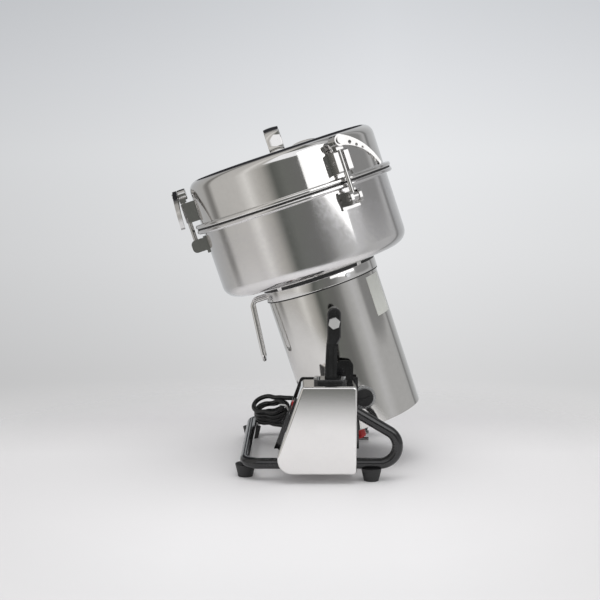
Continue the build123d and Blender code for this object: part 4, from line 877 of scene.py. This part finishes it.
def floor_material(radius):
    """Pale matt floor with painted light and shade: lighter under the grinder, where its shadow falls, and
    darker toward its back and sides. It thins out to nothing at its edge by the distance from its middle."""
    material = bpy.data.materials.new("Pale floor")
    material.use_nodes = True
    tree = material.node_tree
    link = tree.links.new
    shader = tree.nodes["Principled BSDF"]
    shader.inputs["Roughness"].default_value = 0.6
    shader.inputs["Specular IOR Level"].default_value = 0.25
    place = add_node(tree, "ShaderNodeTexCoord")
    centred = add_node(tree, "ShaderNodeMapping", {"Location": (0.0, FLOOR_MIDDLE, 0.0)},
                       vector_type="TEXTURE")
    link(place.outputs["Object"], centred.inputs["Vector"])
    split = add_node(tree, "ShaderNodeSeparateXYZ")
    link(place.outputs["Object"], split.inputs["Vector"])
    away = add_node(tree, "ShaderNodeMapRange", {"From Min": -radius, "From Max": radius})
    link(split.outputs["Y"], away.inputs["Value"])
    # Painted light and shade along Y: lightest under the grinder, where its shadow falls, and darker behind
    # it.
    painted_floor_tone = add_node(tree, "ShaderNodeValToRGB")
    stops = [(0.15, (0.88, 0.875, 0.88)), (0.29, (0.925, 0.915, 0.92)), (0.5, (0.94, 0.93, 0.935)),
             (0.58, (0.86, 0.85, 0.855)), (0.65, (0.77, 0.76, 0.77)), (0.78, (0.7, 0.695, 0.7))]
    set_ramp(painted_floor_tone.color_ramp, stops)
    link(away.outputs[0], painted_floor_tone.inputs[0])
    # Painted shade: the floor turns darker toward its sides.
    aside = add_node(tree, "ShaderNodeMath", operation="ABSOLUTE")
    link(split.outputs["X"], aside.inputs[0])
    painted_side_shade = add_node(tree, "ShaderNodeMapRange",
                   {"From Min": 0.12, "From Max": 0.4, "To Min": 1.0, "To Max": 0.86})
    link(aside.outputs[0], painted_side_shade.inputs["Value"])
    dimmed = add_node(tree, "ShaderNodeVectorMath", operation="SCALE")
    link(painted_floor_tone.outputs[0], dimmed.inputs[0])
    link(painted_side_shade.outputs[0], dimmed.inputs["Scale"])
    link(dimmed.outputs[0], shader.inputs["Base Color"])
    length = add_node(tree, "ShaderNodeVectorMath", operation="LENGTH")
    link(centred.outputs["Vector"], length.inputs[0])
    fade = add_node(tree, "ShaderNodeMapRange",
                    {"From Min": 0.45 * radius, "From Max": 0.98 * radius, "To Min": 1.0, "To Max": 0.0},
                    interpolation_type="SMOOTHSTEP")
    link(length.outputs["Value"], fade.inputs["Value"])
    link(fade.outputs[0], shader.inputs["Alpha"])
    return material


def add_lamp(name, place, turn, size, power):
    """An area lamp of a width and a height, turned by degrees about X, Y and Z, hidden from the camera."""
    light = bpy.data.lights.new(name, "AREA")
    light.shape = "RECTANGLE"
    light.size, light.size_y = size
    light.energy = power
    lamp = bpy.data.objects.new(name, light)
    lamp.location = place
    lamp.rotation_euler = np.radians(turn)
    lamp.visible_camera = False
    bpy.context.scene.collection.objects.link(lamp)
    return lamp


def shade(piece, lamps):
    """Flags a piece off from lamps, where the stage has them."""
    shaded = bpy.data.collections.new(f"{piece.name}_shaded")
    shaded.objects.link(piece)
    shaded.collection_objects[0].light_linking.link_state = "EXCLUDE"
    for lamp in filter(None, map(bpy.data.objects.get, lamps)):
        lamp.light_linking.receiver_collection = shaded


class GRINDER_OT_stage(bpy.types.Operator):
    """Sets the floor, the studio light and the camera"""
    bl_idname = "grinder.stage"
    bl_label = "Stage"

    def execute(self, context):
        scene = context.scene
        sizes = scene.grinder_sizes
        radius = np.linspace(0, sizes.floor_radius, 24)[:, None]
        turn = np.linspace(0, 2 * np.pi, 96, endpoint=False)[None, :]
        x, y = radius * np.cos(turn), radius * np.sin(turn) + FLOOR_MIDDLE
        points = np.stack([x, y, 0 * x], -1)
        mesh = bpy.data.meshes.new("floor")
        mesh.from_pydata(points.reshape(-1, 3).tolist(), [], grid_faces(24, 96, False, True).tolist())
        mesh.materials.append(floor_material(sizes.floor_radius))
        floor = bpy.data.objects.new("floor", mesh)
        scene.collection.objects.link(floor)
        scene.world = studio_world()
        add_lamp("overhead_lamp", (0.1, -0.1, 1.7), (0, 0, 0), (1.6, 1.6), 15.0).visible_glossy = False
        add_lamp("card_lamp", (0.763, -0.925, 0.97), (90, -13, 40), (1.18, 1.04), 4.7).visible_diffuse = False
        add_lamp("strip_lamp", (0.834, -0.863, 0.46), (90, 0, 44), (0.42, 0.11), 0.17).visible_diffuse = False
        data = bpy.data.cameras.new("camera")
        data.sensor_width = SENSOR_WIDTH
        data.sensor_fit = "HORIZONTAL"
        data.lens = SENSOR_WIDTH * FOCAL_PIXELS / PICTURE_PIXELS
        camera = bpy.data.objects.new("camera", data)
        camera.location = (CAMERA_X, PIVOT[1] - sizes.camera_distance, sizes.camera_height)
        camera.rotation_euler = (np.radians(90 - CAMERA_PITCH), 0.0, np.radians(CAMERA_YAW))
        scene.collection.objects.link(camera)
        scene.camera = camera
        scene.view_settings.view_transform = "Standard"
        return {"FINISHED"}


class GRINDER_PT_panel(bpy.types.Panel):
    bl_idname = "GRINDER_PT_panel"
    bl_label = "Grain grinder"
    bl_space_type = "VIEW_3D"
    bl_region_type = "UI"
    bl_category = "Grinder"

    def draw(self, context):
        layout = self.layout
        for settings in (context.scene.grinder_sizes, context.scene.grinder_looks):
            for key in settings.__annotations__:
                layout.prop(settings, key)
        for operator in OPERATORS:
            layout.operator(operator.bl_idname)


OPERATORS = (GRINDER_OT_stage, GRINDER_OT_cord, GRINDER_OT_bowl, GRINDER_OT_latches, GRINDER_OT_motor,
             GRINDER_OT_stand)
CLASSES = (GrinderSizes, GrinderLooks, *OPERATORS, GRINDER_PT_panel)


def register():
    for item in CLASSES:
        bpy.utils.register_class(item)
    bpy.types.Scene.grinder_sizes = bpy.props.PointerProperty(type=GrinderSizes)
    bpy.types.Scene.grinder_looks = bpy.props.PointerProperty(type=GrinderLooks)


def unregister():
    del bpy.types.Scene.grinder_looks
    del bpy.types.Scene.grinder_sizes
    for item in reversed(CLASSES):
        bpy.utils.unregister_class(item)


def main():
    register()
    bpy.ops.grinder.stage()
    bpy.ops.grinder.cord()
    bpy.ops.grinder.bowl()
    bpy.ops.grinder.latches()
    bpy.ops.grinder.motor()
    bpy.ops.grinder.stand()


if __name__ == "__main__":
    main()
